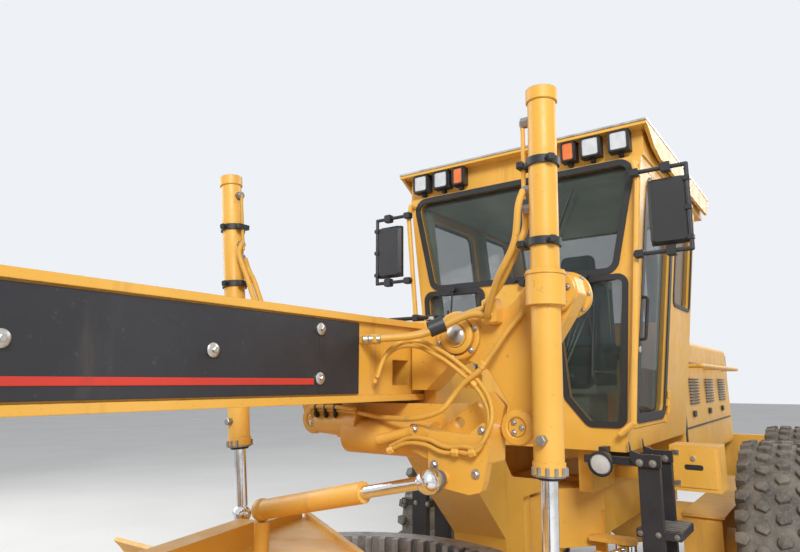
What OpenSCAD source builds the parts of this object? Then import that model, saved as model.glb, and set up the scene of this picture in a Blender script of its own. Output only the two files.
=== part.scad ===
// Motor grader: articulated six-wheel machine with a circle-turned blade under a gooseneck frame.
// X points forward, Y to the machine's left, Z up; the origin is on the ground at mid length.

/* [Machine] */
// Length over the push block and the rear bumper
overall_length = 9220; // [9200:10:9300]
// Width over the tyres
overall_width = 2820; // [2780:10:2860]
// Distance from the front axle to the middle of the tandems
wheelbase = 6450; // [6400:10:6480]
// Front axle's place ahead of the middle of the machine
front_axle_x = 3770; // [3750:5:3790]
// Place of the hitch pin, behind the middle of the machine
hitch_back = 250; // [230:5:270]

/* [Wheels] */
// Tyre diameter over the lugs
tyre_d = 1490; // [1470:5:1510]
// Tyre width over the side walls
tyre_w = 430; // [410:5:440]
// Height of a lug over the tread base
lug_h = 28; // [15:1:40]
// Lugs on each side of a tyre
lug_count = 20; // [12:1:24]
// Diameter of the bead seat
bead_d = 620; // [600:5:640]
// Distance between the two wheels of a tandem
tandem_spacing = 1656; // [1620:4:1680]

/* [Gooseneck] */
// Width over the beam's flanges
beam_w = 330; // [310:5:350]
// Height of the beam
beam_h = 319; // [300:1:340]
// Level of the beam's top
beam_top_z = 2121; // [2100:1:2150]
// Thickness of the flanges
flange_t = 25; // [18:1:32]
// How far the flanges stand out of the web
flange_lip = 15; // [8:1:22]

/* [Blade] */
// Length of the blade
blade_l = 4267; // [4000:1:4400]
// Height of the blade
blade_h = 688; // [640:1:720]
// Thickness of the blade's plate
blade_t = 25; // [18:1:32]
// Gap from the cutting edge to the ground
blade_gap = 250; // [200:5:280]
// Outer diameter of the circle
circle_d = 1553; // [1500:1:1600]
// Teeth of the circle
circle_teeth = 64; // [40:1:80]

/* [Cylinders] */
// Outer diameter of the lift cylinders
lift_tube_d = 100; // [90:1:110]
// Diameter of the lift rods
lift_rod_d = 55; // [50:1:60]
// Length of a lift tube
lift_tube_l = 1330; // [1300:5:1360]
// Distance of the lift trunnions from the middle
trunnion_y = 800; // [780:2:820]

/* [Cab] */
// Half width of the cab at its floor
cab_low_hw = 610; // [590:2:630]
// Half width of the cab under its roof
cab_high_hw = 790; // [770:2:800]
// Thickness of the cab's walls
cab_wall = 50; // [40:1:60]
// Half width of the roof
roof_hw = 844; // [830:1:860]

/* [Hidden] */
$fn = 48;
run_fit = 0.05;
rear_x = -overall_length / 2;
front_x = overall_length / 2;
tandem_x = front_axle_x - wheelbase;
hitch_x = -hitch_back;
axle_z = tyre_d / 2;
wheel_y = (overall_width - tyre_w) / 2;
beam_bot_z = beam_top_z - beam_h;
web_hw = beam_w / 2 - flange_lip;
// Bend of the gooseneck over the front axle
bend_x = 2820;
bend_r = 700;
bend_a = 48;
bolster_z = 1090;
nose_top_z = 1400;
// Back face of the push block, which stays ahead of the steering cylinders
steer_front = 230;
push_x = max(front_x - 260, front_axle_x + steer_front);
// Front axle
pivot_z = 800;
pivot_d = 90;
leg_t = 60;
leg_gap = 130;
axle_hx = 110;
lean_y = 800;
lean_z = 700;
lean_top = 275;
king_y = 905;
king_d = 60;
steer_arm = 180;
arm_front = [front_axle_x + steer_arm, lean_y];
arm_back = [front_axle_x - 110, 755];
tie_top = 534;
// The leaning knuckle carries this pin lower, so it starts above the eye
pin_up = 12;
// Drawbar, circle and blade
ball_x = 3440;
ball_z = 900;
ball_d = 124;
drawbar_yaw = -0.955;
lift_x = 1070;
ball_half = 748;
lift_ball_z = 1280;
trunnion_z = 2190;
circle_reach = 2240;
circle_x = ball_x - circle_reach * cos(drawbar_yaw);
circle_y = -circle_reach * sin(drawbar_yaw);
ring_top_z = 1150;
ring_t = 80;
tooth_root = 86;
tooth_h = 42;
tip_x = circle_x - 610;
tip_z = 470;
tip_pin = 60;
// Cab
cab_front_x = -446;
cab_rear_x = -2000;
cab_z0 = 1500;
cab_z1 = 3150;
roof_z = cab_z1 + 184;
cab_lean = atan((cab_high_hw - cab_low_hw) / (cab_z1 - cab_z0));
cab_slant = (cab_z1 - cab_z0) / cos(cab_lean);
door_x0 = -1330;
door_x1 = -560;
door_gap = 4;
// Rear frame
rail_y = 330;
rail_z0 = 960;
rail_z1 = 1260;
hood_hw = 600;
hood_z1 = 2210;
hood_front_x = -2060;
hood_rear_x = rear_x + 190;
yellow = [0.93, 0.63, 0.10];
black = [0.10, 0.10, 0.11];
steel = [0.75, 0.76, 0.78];
rubber = [0.22, 0.21, 0.20];
grey = [0.45, 0.44, 0.42];
green = [0.55, 0.62, 0.52];

// Outlines: x-z for a side plate, y-z for a cross plate, x-y for a flat plate
module side_plate(pts, y0, y1) translate([0, y1, 0]) rotate([90, 0, 0]) linear_extrude(y1 - y0) polygon(pts);
module cross_plate(pts, x0, x1) translate([x0, 0, 0]) rotate([90, 0, 90]) linear_extrude(x1 - x0) polygon(pts);
module flat_plate(pts, z0, z1) translate([0, 0, z0]) linear_extrude(z1 - z0) polygon(pts);
module block(a, b) translate(a) cube(b - a);
// Round bar from one point to another
module bar(a, b, d) {
  v = b - a;
  translate(a) rotate([0, acos(v.z / norm(v)), atan2(v.y, v.x)]) cylinder(d = d, h = norm(v));
}
// Round bar through a list of points, with round corners
module bent_bar(pts, d) {
  for (i = [0 : len(pts) - 2]) bar(pts[i], pts[i + 1], d);
  for (i = [1 : len(pts) - 2]) translate(pts[i]) sphere(d = d * 1.03);
}
module x_cyl(x0, x1, d) translate([x0, 0, 0]) rotate([0, 90, 0]) cylinder(d = d, h = x1 - x0);
module y_cyl(y0, y1, d) translate([0, y0, 0]) rotate([-90, 0, 0]) cylinder(d = d, h = y1 - y0);
module both_sides() {
  children();
  mirror([0, 1, 0]) children();
}
function arc_pts(c, r, a0, a1, n) = [for (i = [0 : n]) c + r * [cos(a0 + (a1 - a0) * i / n), sin(a0 + (a1 - a0) * i / n)]];
// Corner b between a and c, rounded to radius r
function fillet(a, b, c, r, n) = let(
    u = (a - b) / norm(a - b), v = (c - b) / norm(c - b), half = acos(u * v) / 2,
    mid = b + (u + v) / norm(u + v) * r / sin(half),
    p = b + u * r / tan(half) - mid, q = b + v * r / tan(half) - mid,
    a0 = atan2(p.y, p.x), turn = ((atan2(q.y, q.x) - a0 + 540) % 360) - 180)
  [for (i = [0 : n]) mid + r * [cos(a0 + turn * i / n), sin(a0 + turn * i / n)]];
function rounded(pts, r, n = 4) = [for (i = [0 : len(pts) - 1])
  each fillet(pts[(i + len(pts) - 1) % len(pts)], pts[i], pts[(i + 1) % len(pts)], r, n)];

// Gooseneck: upper and lower lines share the centre of their bend
bend_c = [bend_x, beam_top_z - bend_r];
function down_to(p, z) = [p.x + (p.y - z) / tan(bend_a), z];
function neck_line(r, z) = let(a = arc_pts(bend_c, r, 90, 90 - bend_a, 8)) concat(a, [down_to(a[8], z)]);
neck_x = 800;
module gooseneck() {
  top = neck_line(bend_r, nose_top_z);
  bot = neck_line(bend_r - beam_h, bolster_z);
  top_in = neck_line(bend_r - flange_t, nose_top_z - flange_t);
  bot_in = neck_line(bend_r - beam_h + flange_t, bolster_z);
  rev_bot = [for (i = [len(bot) - 1 : -1 : 0]) bot[i]];
  rev_in = [for (i = [len(top_in) - 1 : -1 : 0]) top_in[i]];
  side_plate(concat([[neck_x, beam_top_z]], top, rev_bot, [[neck_x, beam_bot_z]]), -web_hw, web_hw);
  side_plate(concat([[neck_x, beam_top_z]], top, rev_in, [[neck_x, beam_top_z - flange_t]]),
             -beam_w / 2, beam_w / 2);
  side_plate(concat([[neck_x, beam_bot_z + flange_t]], bot_in, rev_bot, [[neck_x, beam_bot_z]]),
             -beam_w / 2, beam_w / 2);
}
// Neck from the beam down to the hitch
neck_side = [[neck_x, beam_top_z], [640, beam_top_z], [500, 2070], [350, 1900], [150, 1560], [0, 1380],
             [hitch_x - 130, 1330], [hitch_x - 130, 1270], [hitch_x + 130, 1270], [hitch_x + 130, 800],
             [hitch_x - 130, 800], [hitch_x - 130, 740], [60, 740], [100, 1100], [480, 1460], [700, 1700], [neck_x, beam_bot_z]];
hitch_d = 110;
module main_frame() color(yellow) {
  difference() {
    union() {
      gooseneck();
      side_plate(neck_side, -web_hw, web_hw);
      // Bolster over the front axle, with its nose
      side_plate([[3480, bolster_z], [3480, 1230], [3700, nose_top_z], [push_x, nose_top_z], [push_x, bolster_z]],
                 -beam_w / 2, beam_w / 2);
      for (x = [front_axle_x - leg_gap - leg_t, front_axle_x + leg_gap]) {
        block([x, -110, pivot_z], [x + leg_t, 110, bolster_z + 10]);
        translate([0, 0, pivot_z]) x_cyl(x, x + leg_t, 220);
      }
      // Lugs for the articulation cylinders, with their pins
      both_sides() {
        for (z = [artic_z - 88, artic_z + 58]) {
          translate([artic_a.x, artic_a.y, z]) cylinder(d = 130, h = 30);
          block([artic_a.x - 60, web_hw - 20, z], [artic_a.x + 60, artic_a.y, z + 30]);
        }
        translate([artic_a.x, artic_a.y, artic_z - 75]) cylinder(d = 60, h = 150);
      }
      // Socket of the drawbar's ball: a plate over it and one under it
      for (z = [ball_z - 140, ball_z + 85]) {
        translate([ball_x, 0, z]) cylinder(d = 130, h = 55);
        block([ball_x, -60, z], [front_axle_x - leg_gap - leg_t + 5, 60, z + 55]);
      }
    }
    translate([0, 0, pivot_z]) x_cyl(front_axle_x - 300, front_axle_x + 300, pivot_d + 2 * run_fit);
    translate([ball_x, 0, ball_z - 200]) cylinder(d = 60 + 2 * run_fit, h = 400);
    // Bores of the hitch ears and the slots in the web
    translate([hitch_x, 0, 700]) cylinder(d = hitch_d + 2 * run_fit, h = 700);
    block([955, -200, 1863], [1065, 200, 1961]);
  }
}
cover_x = [1284, 1497, 2500, 2900];
module beam_covers() color(black) {
  both_sides() for (i = [0 : 2])
    block([cover_x[i] + 1, web_hw, beam_bot_z + flange_t + 6], [cover_x[i + 1] - 1, web_hw + 8, beam_top_z - flange_t - 6]);
}
module push_block() color(yellow) {
  difference() {
    side_plate([[push_x, 620], [push_x, nose_top_z], [front_x - 130, nose_top_z], [front_x, 1180], [front_x, 620]],
               -380, 380);
    block([front_x - 130, -110, 560], [front_x + 10, 110, 760]);
  }
}
// Blade-lift saddle around the beam. Its arms stand behind the lift cylinders and end in the bearings of their
// trunnions; the left arm's foot stands further out than the right one's. Outlines are y against z
saddle_x0 = 740;
saddle_x1 = 860;
arm_x0 = 890;
arm_x1 = 975;
boss_at = [405, 2050];
foot_left = [647, 1717];
foot_right = [-330, 1715];
arm_top = [[345, 1985], [320, 2050], [345, 2120], [405, 2148], [509, 2125], [622, 2150], [712, 2245], [800, 2272],
           [868, 2240], [882, 2180]];
arm_left = rounded(concat(arm_top, [[840, 2100], [740, 1950], [715, 1700], [650, 1648], [588, 1690], [611, 1785],
                                    [528, 1920], [430, 1960]]), 16);
arm_right = rounded([for (p = concat(arm_top, [[840, 2100], [700, 2000], [480, 1890], [400, 1720], [340, 1652],
                                               [275, 1690], [290, 1800], [330, 1950]])) [-p.x, p.y]], 16);
gusset = [[beam_w / 2 + 0.3, 1843], [234, 1843], [345, 1940], [480, 1985], [430, 2130], [330, 2100], [300, 2075],
          [beam_w / 2 + 0.3, 2075]];
casting = rounded([[240, 1625], [240, 1722], [287, 1712], [340, 1684], [404, 1667], [480, 1682], [556, 1738],
                   [580, 1700], [575, 1590], [330, 1590]], 12);
lock_bar = rounded([[180, 1600], [413, 1768], [533, 1842], [585, 1790], [560, 1690], [300, 1590]], 15);
ear = rounded([[330, 1700], [335, 1548], [400, 1500], [502, 1487], [548, 1500], [560, 1535], [575, 1605], [575, 1690]], 14);
ear_x = 1095;
stud_x = 1134;
// Each boss is a stepped disc: diameter against the x of its face
boss_rings = [[190, 985], [140, 1000], [88, 1010]];
drum_z = 1655;
module lift_saddle() color(yellow) {
  difference() {
    union() {
      side_plate(rounded([[saddle_x0, 1672], [saddle_x1, 1672], [saddle_x1, beam_top_z + 15], [saddle_x0, beam_top_z + 15]], 30),
                 -beam_w / 2 - 60, beam_w / 2 + 60);
      block([saddle_x0 + 40, -beam_w / 2 - 60, 1640], [960, 330, 1790]);
      cross_plate(arm_left, arm_x0, arm_x1);
      cross_plate(arm_right, arm_x0, arm_x1);
      both_sides() {
        cross_plate(gusset, saddle_x1 - 20, 950);
        for (r = boss_rings) translate([0, boss_at.x, boss_at.y]) x_cyl(arm_x0 - 10, r[1], r[0]);
        // Bearing of the trunnion, its flange and its cone
        translate([0, trunnion_y, trunnion_z]) {
          x_cyl(800, 998, 150);
          x_cyl(846, 864, 176);
          translate([730, 0, 0]) rotate([0, 90, 0]) cylinder(d1 = 90, d2 = 150, h = 70.2);
        }
      }
      for (f = [foot_left, foot_right]) translate([0, f.x, f.y]) {
        x_cyl(arm_x0 - 10, 998, 128);
        x_cyl(arm_x0, 1005, 64);
      }
      // Casting under the beam: lock bar, drum and cone, curved strap, ear of the centre-shift cylinder
      cross_plate(lock_bar, 940, 968);
      cross_plate(casting, 955, 1078);
      cross_plate(ear, 1055, ear_x);
      translate([985, 0, drum_z]) {
        y_cyl(-125, 300, 140);
        y_cyl(-138, -60, 96);
      }
      translate([985, -300, 1698]) rotate([-90, 0, 0]) cylinder(d1 = 84, d2 = 120, h = 240);
      block([900, foot_right.x + 10, 1665], [1010, -100, 1730]);
      // Lock cylinder in front of the drum, on its bracket
      bar([1080, 96, 1652], [1080, 262, 1692], 42);
      block([1000, 225, 1650], [1085, 262, 1705]);
      translate([0, shift_b.y, shift_b.z]) x_cyl(ear_x - 10, stud_x, 44);
    }
    side_plate([[700, 1802 - 0.3], [1300, beam_bot_z - 0.3], [1300, beam_top_z + 0.3], [700, beam_top_z + 0.3]],
               -beam_w / 2 - 0.3, beam_w / 2 + 0.3);
    side_plate([[480, 1460 - 0.3], [700, 1700 - 0.4], [neck_x + 0.3, beam_bot_z - 0.3], [neck_x + 0.3, beam_bot_z + 50], [480, 1900]],
               -beam_w / 2 - 0.3, beam_w / 2 + 0.3);
    both_sides() translate([0, trunnion_y, trunnion_z]) x_cyl(815, lift_x, 50 + 2 * run_fit);
    for (h = [[498, 1798], [395, 1722]]) translate([0, h.x, h.y]) x_cyl(920, 972, 44);
  }
}
module beam_hoses() color(yellow) {
  block([1240, web_hw, 2012], [1276, 226, 2048]);
  for (k = [0 : 1])
    bent_bar([[1260, 184 + 26 * k, 2030], [1150, 330 + 20 * k, 2050], [1050, 470 + 16 * k, 2120], [1010, 560, 2150 - 34 * k]], 22);
  block([arm_x1, 530, 2085], [1025, 590, 2180]);
}

// Rear frame with its hitch barrel, axle housing, platforms and bumper
bumper_hole_y = 300;
bumper_hole_z = [1000, 1230];
bumper_hole_d = 26;
tow_pin_d = 50;
module rear_chassis() color(yellow) {
  difference() {
    union() {
      translate([hitch_x, 0, 806]) cylinder(d = 240, h = 458);
      side_plate([[hitch_x, 840], [hitch_x - 300, 820], [-900, rail_z0 - 60], [-900, rail_z1 - 20], [hitch_x, 1240]], -115, 115);
      flat_plate([[-640, -115], [-900, -rail_y], [-1000, -rail_y], [-1000, rail_y], [-900, rail_y], [-640, 115]], 900, 1240);
    }
    translate([hitch_x, 0, 700]) cylinder(d = hitch_d - 20, h = 700);
  }
  translate([hitch_x, 0, 735]) cylinder(d = hitch_d, h = 600);
  both_sides() {
    block([rear_x + 120, rail_y - 60, rail_z0], [-900, rail_y, rail_z1]);
    // Cab brackets and floor beams
    block([-1900, 300, rail_z1 - 5], [-560, 380, cab_z0]);
  }
  block([-1300, -rail_y, rail_z0 + 20], [-1200, rail_y, rail_z1 - 20]);
  // Lugs over and under the articulation rods' eyes
  both_sides() for (z = [artic_z - 70, artic_z + 45]) {
    translate([artic_b.x, artic_b.y, z]) cylinder(d = 130, h = 25);
    block([artic_b.x - 60, rail_y - 60, z], [artic_b.x + 60, artic_b.y, z + 25]);
    block([artic_b.x - 110, rail_y - 60, z], [artic_b.x - 60, rail_y, 1100]);
  }
  // Axle housing between the tandems
  translate([tandem_x, 0, axle_z]) y_cyl(-606, 606, 300);
  translate([tandem_x, 0, axle_z + 60]) sphere(d = 560);
  block([tandem_x - 200, -rail_y, axle_z + 130], [tandem_x + 200, rail_y, rail_z0 + 20]);
  translate([tandem_x, 0, axle_z]) y_cyl(-780, 780, 160);
  // Bumper with the bolt holes of a rear attachment, and the tow clevis under it
  difference() {
    block([rear_x, -900, 900], [rear_x + 120, 900, 1330]);
    both_sides() for (z = bumper_hole_z) translate([0, bumper_hole_y, z]) x_cyl(rear_x - 10, rear_x + 130, bumper_hole_d);
  }
  difference() {
    both_sides() block([rear_x + 20, 50, 780], [rear_x + 140, 75, 905]);
    translate([rear_x + 80, 0, 835]) y_cyl(-100, 100, tow_pin_d);
  }
}
module hood() color(yellow) {
  difference() {
    cross_plate(rounded([[-hood_hw, rail_z1], [hood_hw, rail_z1], [hood_hw - 20, hood_z1], [-hood_hw + 20, hood_z1]], 40),
                hood_rear_x, hood_front_x);
    cross_plate(rounded([[-hood_hw + 30, rail_z1 - 50], [hood_hw - 30, rail_z1 - 50], [hood_hw - 50, hood_z1 - 30], [-hood_hw + 50, hood_z1 - 30]], 30),
                hood_rear_x - 10, hood_front_x - 30);
  }
}
module radiator_grille() color(black) {
  z0 = rail_z1 + 60;
  for (z = [z0 : 70 : hood_z1 - 110]) block([hood_rear_x - 40, -490, z], [hood_rear_x - 20, 490, z + 20]);
  both_sides() block([hood_rear_x - 50, 480, z0 - 20], [hood_rear_x, 580, hood_z1 - 60]);
  block([hood_rear_x - 50, -540, z0 - 40], [hood_rear_x, 540, z0 - 20]);
  block([hood_rear_x - 50, -540, hood_z1 - 80], [hood_rear_x, 540, hood_z1 - 60]);
}
module exhaust_stack() color(black) {
  translate([-2900, 250, hood_z1]) cylinder(d = 190, h = 420);
  translate([-2900, 250, hood_z1 + 419]) cylinder(d = 110, h = 430);
}
module engine_block() color(grey) block([rear_x + 610, -330, rail_z1], [rear_x + 1760, 330, 1960]);
module toolbox() color(yellow) {
  both_sides() {
    block([-1150, 720, 1255], [-930, 985, 1510]);
    block([-1100, 380, 1290], [-980, 721, 1360]);
  }
}
module handrails() color(yellow) {
  both_sides() {
    bent_bar([[-2200, 585, 2000], [-2200, 720, 2000], [-4100, 720, 2000], [-4100, 585, 2000]], 34);
    bar([-3100, 585, 2000], [-3100, 720, 2000], 34);
  }
}
module steps() color(black) {
  both_sides() {
    // Posts with horned brackets at their tops, and the treads between them
    for (x = [-740, -470]) {
      block([x, 668, 700], [x + 40, 777, 1490]);
      cross_plate([[632, 1562], [636, 1470], [660, 1436], [790, 1436], [790, 1500], [690, 1500], [640, 1518]], x + 39, x + 59);
      block([x, 380, 1436], [x + 40, 680, 1476]);
    }
    for (z = [720, 1080]) block([-740, 640, z], [-430, 860, z + 40]);
  }
}

// Cab
upper_window = rounded([[-600, 2505], [600, 2505], [735, cab_z1 - 32], [-735, cab_z1 - 32]], 60);
lower_window = rounded([[240, 2455], [300, 1790], [420, 1650], [600, 1650], [655, 2455]], 35);
rear_window = rounded([[-560, 2330], [560, 2330], [650, cab_z1 - 60], [-650, cab_z1 - 60]], 50);
door_open = [[door_x0, 115], [door_x1, 115], [door_x1, cab_slant - 60], [door_x0, cab_slant - 60]];
side_window = rounded([[-1930, 900], [-1400, 900], [-1400, cab_slant - 70], [-1930, cab_slant - 70]], 50);
// A wall that leans outwards from the cab's floor; its outline is x against height up the slope
module leaning_wall(pts, y0, y1) translate([0, cab_low_hw, cab_z0]) rotate([-cab_lean, 0, 0]) side_plate(pts, y0, y1);
front_wall = 60;
cab_floor = 40;
// Section of the cab at x, drawn in by a wall's thickness, from one level to another
function cab_half(z) = cab_low_hw + (z - cab_z0) * tan(cab_lean);
module cab_section(x0, x1, z0, z1, wall) {
  w = wall / cos(cab_lean);
  cross_plate([[-cab_half(z0) + w, z0], [cab_half(z0) - w, z0], [cab_half(z1) - w, z1], [-cab_half(z1) + w, z1]], x0, x1);
}
module cab_shell() color(yellow) {
  difference() {
    cab_section(cab_rear_x, cab_front_x, cab_z0, cab_z1, 0);
    cab_section(cab_rear_x + cab_wall, cab_front_x - front_wall, cab_z0 + cab_floor, cab_z1 + 10, cab_wall);
    cross_plate(upper_window, cab_front_x - front_wall - 20, cab_front_x + 20);
    cross_plate(rear_window, cab_rear_x - 20, cab_rear_x + cab_wall + 20);
    both_sides() {
      cross_plate(lower_window, cab_front_x - front_wall - 20, cab_front_x + 20);
      leaning_wall(door_open, -cab_wall - 10, 10);
      leaning_wall(side_window, -cab_wall - 10, 10);
    }
  }
  both_sides() for (z = hinge_s) {
    on_wall() translate([door_x0, hinge_out, z - hinge_h]) cylinder(d = hinge_d, h = 2 * hinge_h);
    on_wall() block([door_x0 - 30, -1, z - hinge_h], [door_x0 - 4, hinge_out, z + hinge_h]);
  }
}
// Door hinges: a barrel on the wall between two on the door, their axis just outside the wall
hinge_s = [245, cab_z1 - cab_z0 - 255];
hinge_h = 25;
hinge_d = 24;
hinge_out = 13;
module on_wall() translate([0, cab_low_hw, cab_z0]) rotate([-cab_lean, 0, 0]) children();
module cab_roof() color(yellow) {
  block([-2340, -roof_hw, roof_z - 30], [-386, roof_hw, roof_z]);
  difference() {
    block([-2250, -800, cab_z1], [-470, 800, roof_z - 29]);
    block([-2200, -750, cab_z1 - 10], [-520, 750, roof_z - 60]);
  }
  both_sides() side_plate([[-2340, roof_z - 20], [-2228, cab_z1 + 35], [-700, cab_z1 + 35], [-555, cab_z1 + 65], [-386, roof_z - 20]], roof_hw - 20, roof_hw);
}
module cab_glass() color([0.3, 0.4, 0.4, 0.5]) {
  cross_plate(upper_window, cab_front_x - 33, cab_front_x - 27);
  both_sides() {
    cross_plate(lower_window, cab_front_x - 33, cab_front_x - 27);
    leaning_wall(side_window, -28, -22);
  }
  cross_plate(rear_window, cab_rear_x + 22, cab_rear_x + 28);
}
module operator_station() color(green) {
  // Seat on its base, and the console with its column, wheel and levers
  block([-1500, -200, cab_z0 + cab_floor], [-1100, 200, 1800]);
  block([-1560, -260, 1800], [-1060, 260, 1950]);
  block([-1640, -240, 1900], [-1540, 240, 2620]);
  block([-800, -170, cab_z0 + cab_floor], [-600, 170, 1900]);
  translate([-700, 0, 1890]) rotate([0, -18, 0]) {
    cylinder(d = 80, h = 470);
    translate([0, 0, 470]) rotate_extrude() translate([190, 0]) circle(d = 30);
    for (k = [0 : 2]) rotate([0, 90, 120 * k]) translate([-470, 0, 0]) cylinder(d = 22, h = 190);
  }
  both_sides() for (i = [0 : 3]) bar([-700, 150 + 4 * i, 1890], [-740, 215 + 45 * i, 2330], 12);
}
module lamps() color(black) {
  both_sides() {
    for (lamp = [[680, 120], [516, 120], [381, 90]])
      block([cab_front_x - 20, lamp.x - lamp.y / 2, roof_z - 151], [cab_front_x + 40, lamp.x + lamp.y / 2, roof_z - 30]);
    // Work lamp under the cab's front, tilted down, on its foot
    translate([cab_front_x + 30, 505, 1462]) rotate([0, 100, 0]) cylinder(d1 = 84, d2 = 128, h = 90);
    block([cab_front_x, 485, 1500], [cab_front_x + 80, 525, 1530]);
  }
}
module grab_tubes() color(yellow) {
  x = cab_front_x + 50;
  both_sides() bent_bar([[cab_front_x, 760, cab_z1 - 60], [x, 760, cab_z1 - 60], [x, 775, cab_z1 - 150], [x, 670, 1660], [x, 600, 1600],
                         [cab_front_x, 600, 1600]], 32);
}
mirror_top = cab_z1 - 130;
mirror_low = mirror_top - 460;
module mirrors() color(black) {
  both_sides() {
    x = cab_front_x + 78.3;
    bent_bar([[x, 765, mirror_top], [x, 1030, mirror_top], [x, 1030, mirror_low], [x, 735, mirror_low]], 24);
    block([x - 40, 830, mirror_low + 40], [x - 10, 1026, mirror_top - 60]);
  }
}
module cab_door() {
  g = door_gap;
  frame_pts = [[door_x0 + g, 115 + g], [door_x1 - g, 115 + g], [door_x1 - g, cab_slant - 60 - g], [door_x0 + g, cab_slant - 60 - g]];
  pane = rounded([[door_x0 + 60, 185], [door_x1 - 60, 185], [door_x1 - 60, cab_slant - 120], [door_x0 + 60, cab_slant - 120]], 60);
  difference() {
    leaning_wall(frame_pts, -cab_wall, 0);
    leaning_wall(pane, -cab_wall - 10, 10);
  }
  leaning_wall(pane, -28, -22);
  for (z = hinge_s) for (z0 = [z - 3 * hinge_h, z + hinge_h + 0.3]) on_wall() {
    translate([door_x0, hinge_out, z0]) cylinder(d = hinge_d, h = 2 * hinge_h - 0.3);
    block([door_x0 + 6, -1, z0], [door_x0 + 30, hinge_out, z0 + 2 * hinge_h - 0.3]);
  }
}
module door_left() color(yellow) cab_door();
module door_right() color(yellow) mirror([0, 1, 0]) cab_door();

// Articulation cylinders beside the hitch, eyes on upright pins
artic_z = 900;
artic_a = [20, 290, artic_z];
artic_b = [-820, 470, artic_z];
artic_dir = (artic_b - artic_a) / norm(artic_b - artic_a);
module artic_tube() {
  difference() {
    union() {
      bar(artic_a, artic_a + 560 * artic_dir, 110);
      translate(artic_a - [0, 0, 45]) cylinder(d = 120, h = 90);
    }
    translate(artic_a - [0, 0, 80]) cylinder(d = 60 + 2 * run_fit, h = 160);
    bar(artic_a + 120 * artic_dir, artic_a + 700 * artic_dir, 60 + 2 * run_fit);
  }
}
module artic_rod() {
  bar(artic_a + 300 * artic_dir, artic_b, 60);
  translate(artic_b - [0, 0, 40]) cylinder(d = 120, h = 80);
}
module artic_tube_left() color(yellow) artic_tube();
module artic_tube_right() color(yellow) mirror([0, 1, 0]) artic_tube();
module artic_rod_left() color(steel) artic_rod();
module artic_rod_right() color(steel) mirror([0, 1, 0]) artic_rod();

// Wheels
rim_in_y = -tyre_w / 2 + 20;
module tyre() {
  r1 = tyre_d / 2;
  r0 = r1 - lug_h;
  hw = tyre_w / 2;
  intersection() {
    union() {
      rotate([90, 0, 0]) rotate_extrude($fn = 96)
        polygon([[bead_d / 2, -hw + 20], [bead_d / 2 + 60, -hw], [r0 - 110, -hw], [r0 - 20, -hw + 30], [r0, -hw + 80],
                 [r0, hw - 80], [r0 - 20, hw - 30], [r0 - 110, hw], [bead_d / 2 + 60, hw], [bead_d / 2, hw - 20]]);
      for (i = [0 : lug_count - 1]) for (s = [-1, 1])
        rotate([0, (i + s / 4) * 360 / lug_count, 0]) translate([r0 - 40, s * (hw / 2 + 5), 0])
          rotate([s * 22, 0, 0]) translate([0, -hw / 2 + 6, -55]) cube([lug_h + 60, hw - 22, 110]);
    }
    translate([0, -hw, 0]) rotate([-90, 0, 0]) cylinder(d = tyre_d, h = tyre_w, $fn = 96);
  }
}
// Rim with its disc set towards the outer side
module rim() {
  hw = tyre_w / 2;
  r = bead_d / 2 - 0.3;
  rotate([-90, 0, 0]) rotate_extrude()
    polygon([[60, hw - 150], [60, hw - 60], [170, hw - 60], [190, hw - 110], [r - 25, hw - 110], [r - 25, hw - 4], [r, hw - 4],
             [r, -hw + 4], [r - 25, -hw + 4], [r - 25, hw - 140], [170, hw - 140], [150, hw - 150]]);
}
// A left wheel about its own centre; the right one is its mirror image
module wheel() {
  tyre();
  rim();
}
module place_wheel(x, s) translate([x, s * wheel_y, axle_z]) mirror([0, s < 0 ? 1 : 0, 0]) wheel();
module wheel_front_left() color(rubber) place_wheel(front_axle_x, 1);
module wheel_front_right() color(rubber) place_wheel(front_axle_x, -1);
module wheel_mid_left() color(rubber) place_wheel(tandem_x + tandem_spacing / 2, 1);
module wheel_mid_right() color(rubber) place_wheel(tandem_x + tandem_spacing / 2, -1);
module wheel_rear_left() color(rubber) place_wheel(tandem_x - tandem_spacing / 2, 1);
module wheel_rear_right() color(rubber) place_wheel(tandem_x - tandem_spacing / 2, -1);
hub_out = wheel_y + tyre_w / 2 - 60;

// Tandem case: swings on the axle housing, carries two wheels on stub shafts
module tandem_case() {
  h = tandem_spacing / 2;
  difference() {
    union() {
      side_plate(rounded([[tandem_x - h - 210, axle_z - 120], [tandem_x - h - 90, axle_z - 190],
                          [tandem_x + h + 90, axle_z - 190], [tandem_x + h + 210, axle_z - 120],
                          [tandem_x + h + 210, axle_z + 240], [tandem_x - h - 210, axle_z + 240]], 30), 615, 860);
      // Walkway on top of the case
      block([tandem_x - h - 230, 612, axle_z + 239], [tandem_x + h + 225, 880, axle_z + 255]);
      for (x = [tandem_x - h, tandem_x + h]) translate([x, 0, axle_z]) {
        y_cyl(859, 1000, 300);
        y_cyl(999, hub_out - 1, 120 - 2 * run_fit);
      }
    }
    translate([tandem_x, 0, axle_z]) y_cyl(600, 790, 160 + 2 * run_fit);
  }
}
module tandem_left() color(yellow) tandem_case();
module tandem_right() color(yellow) mirror([0, 1, 0]) tandem_case();

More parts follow.
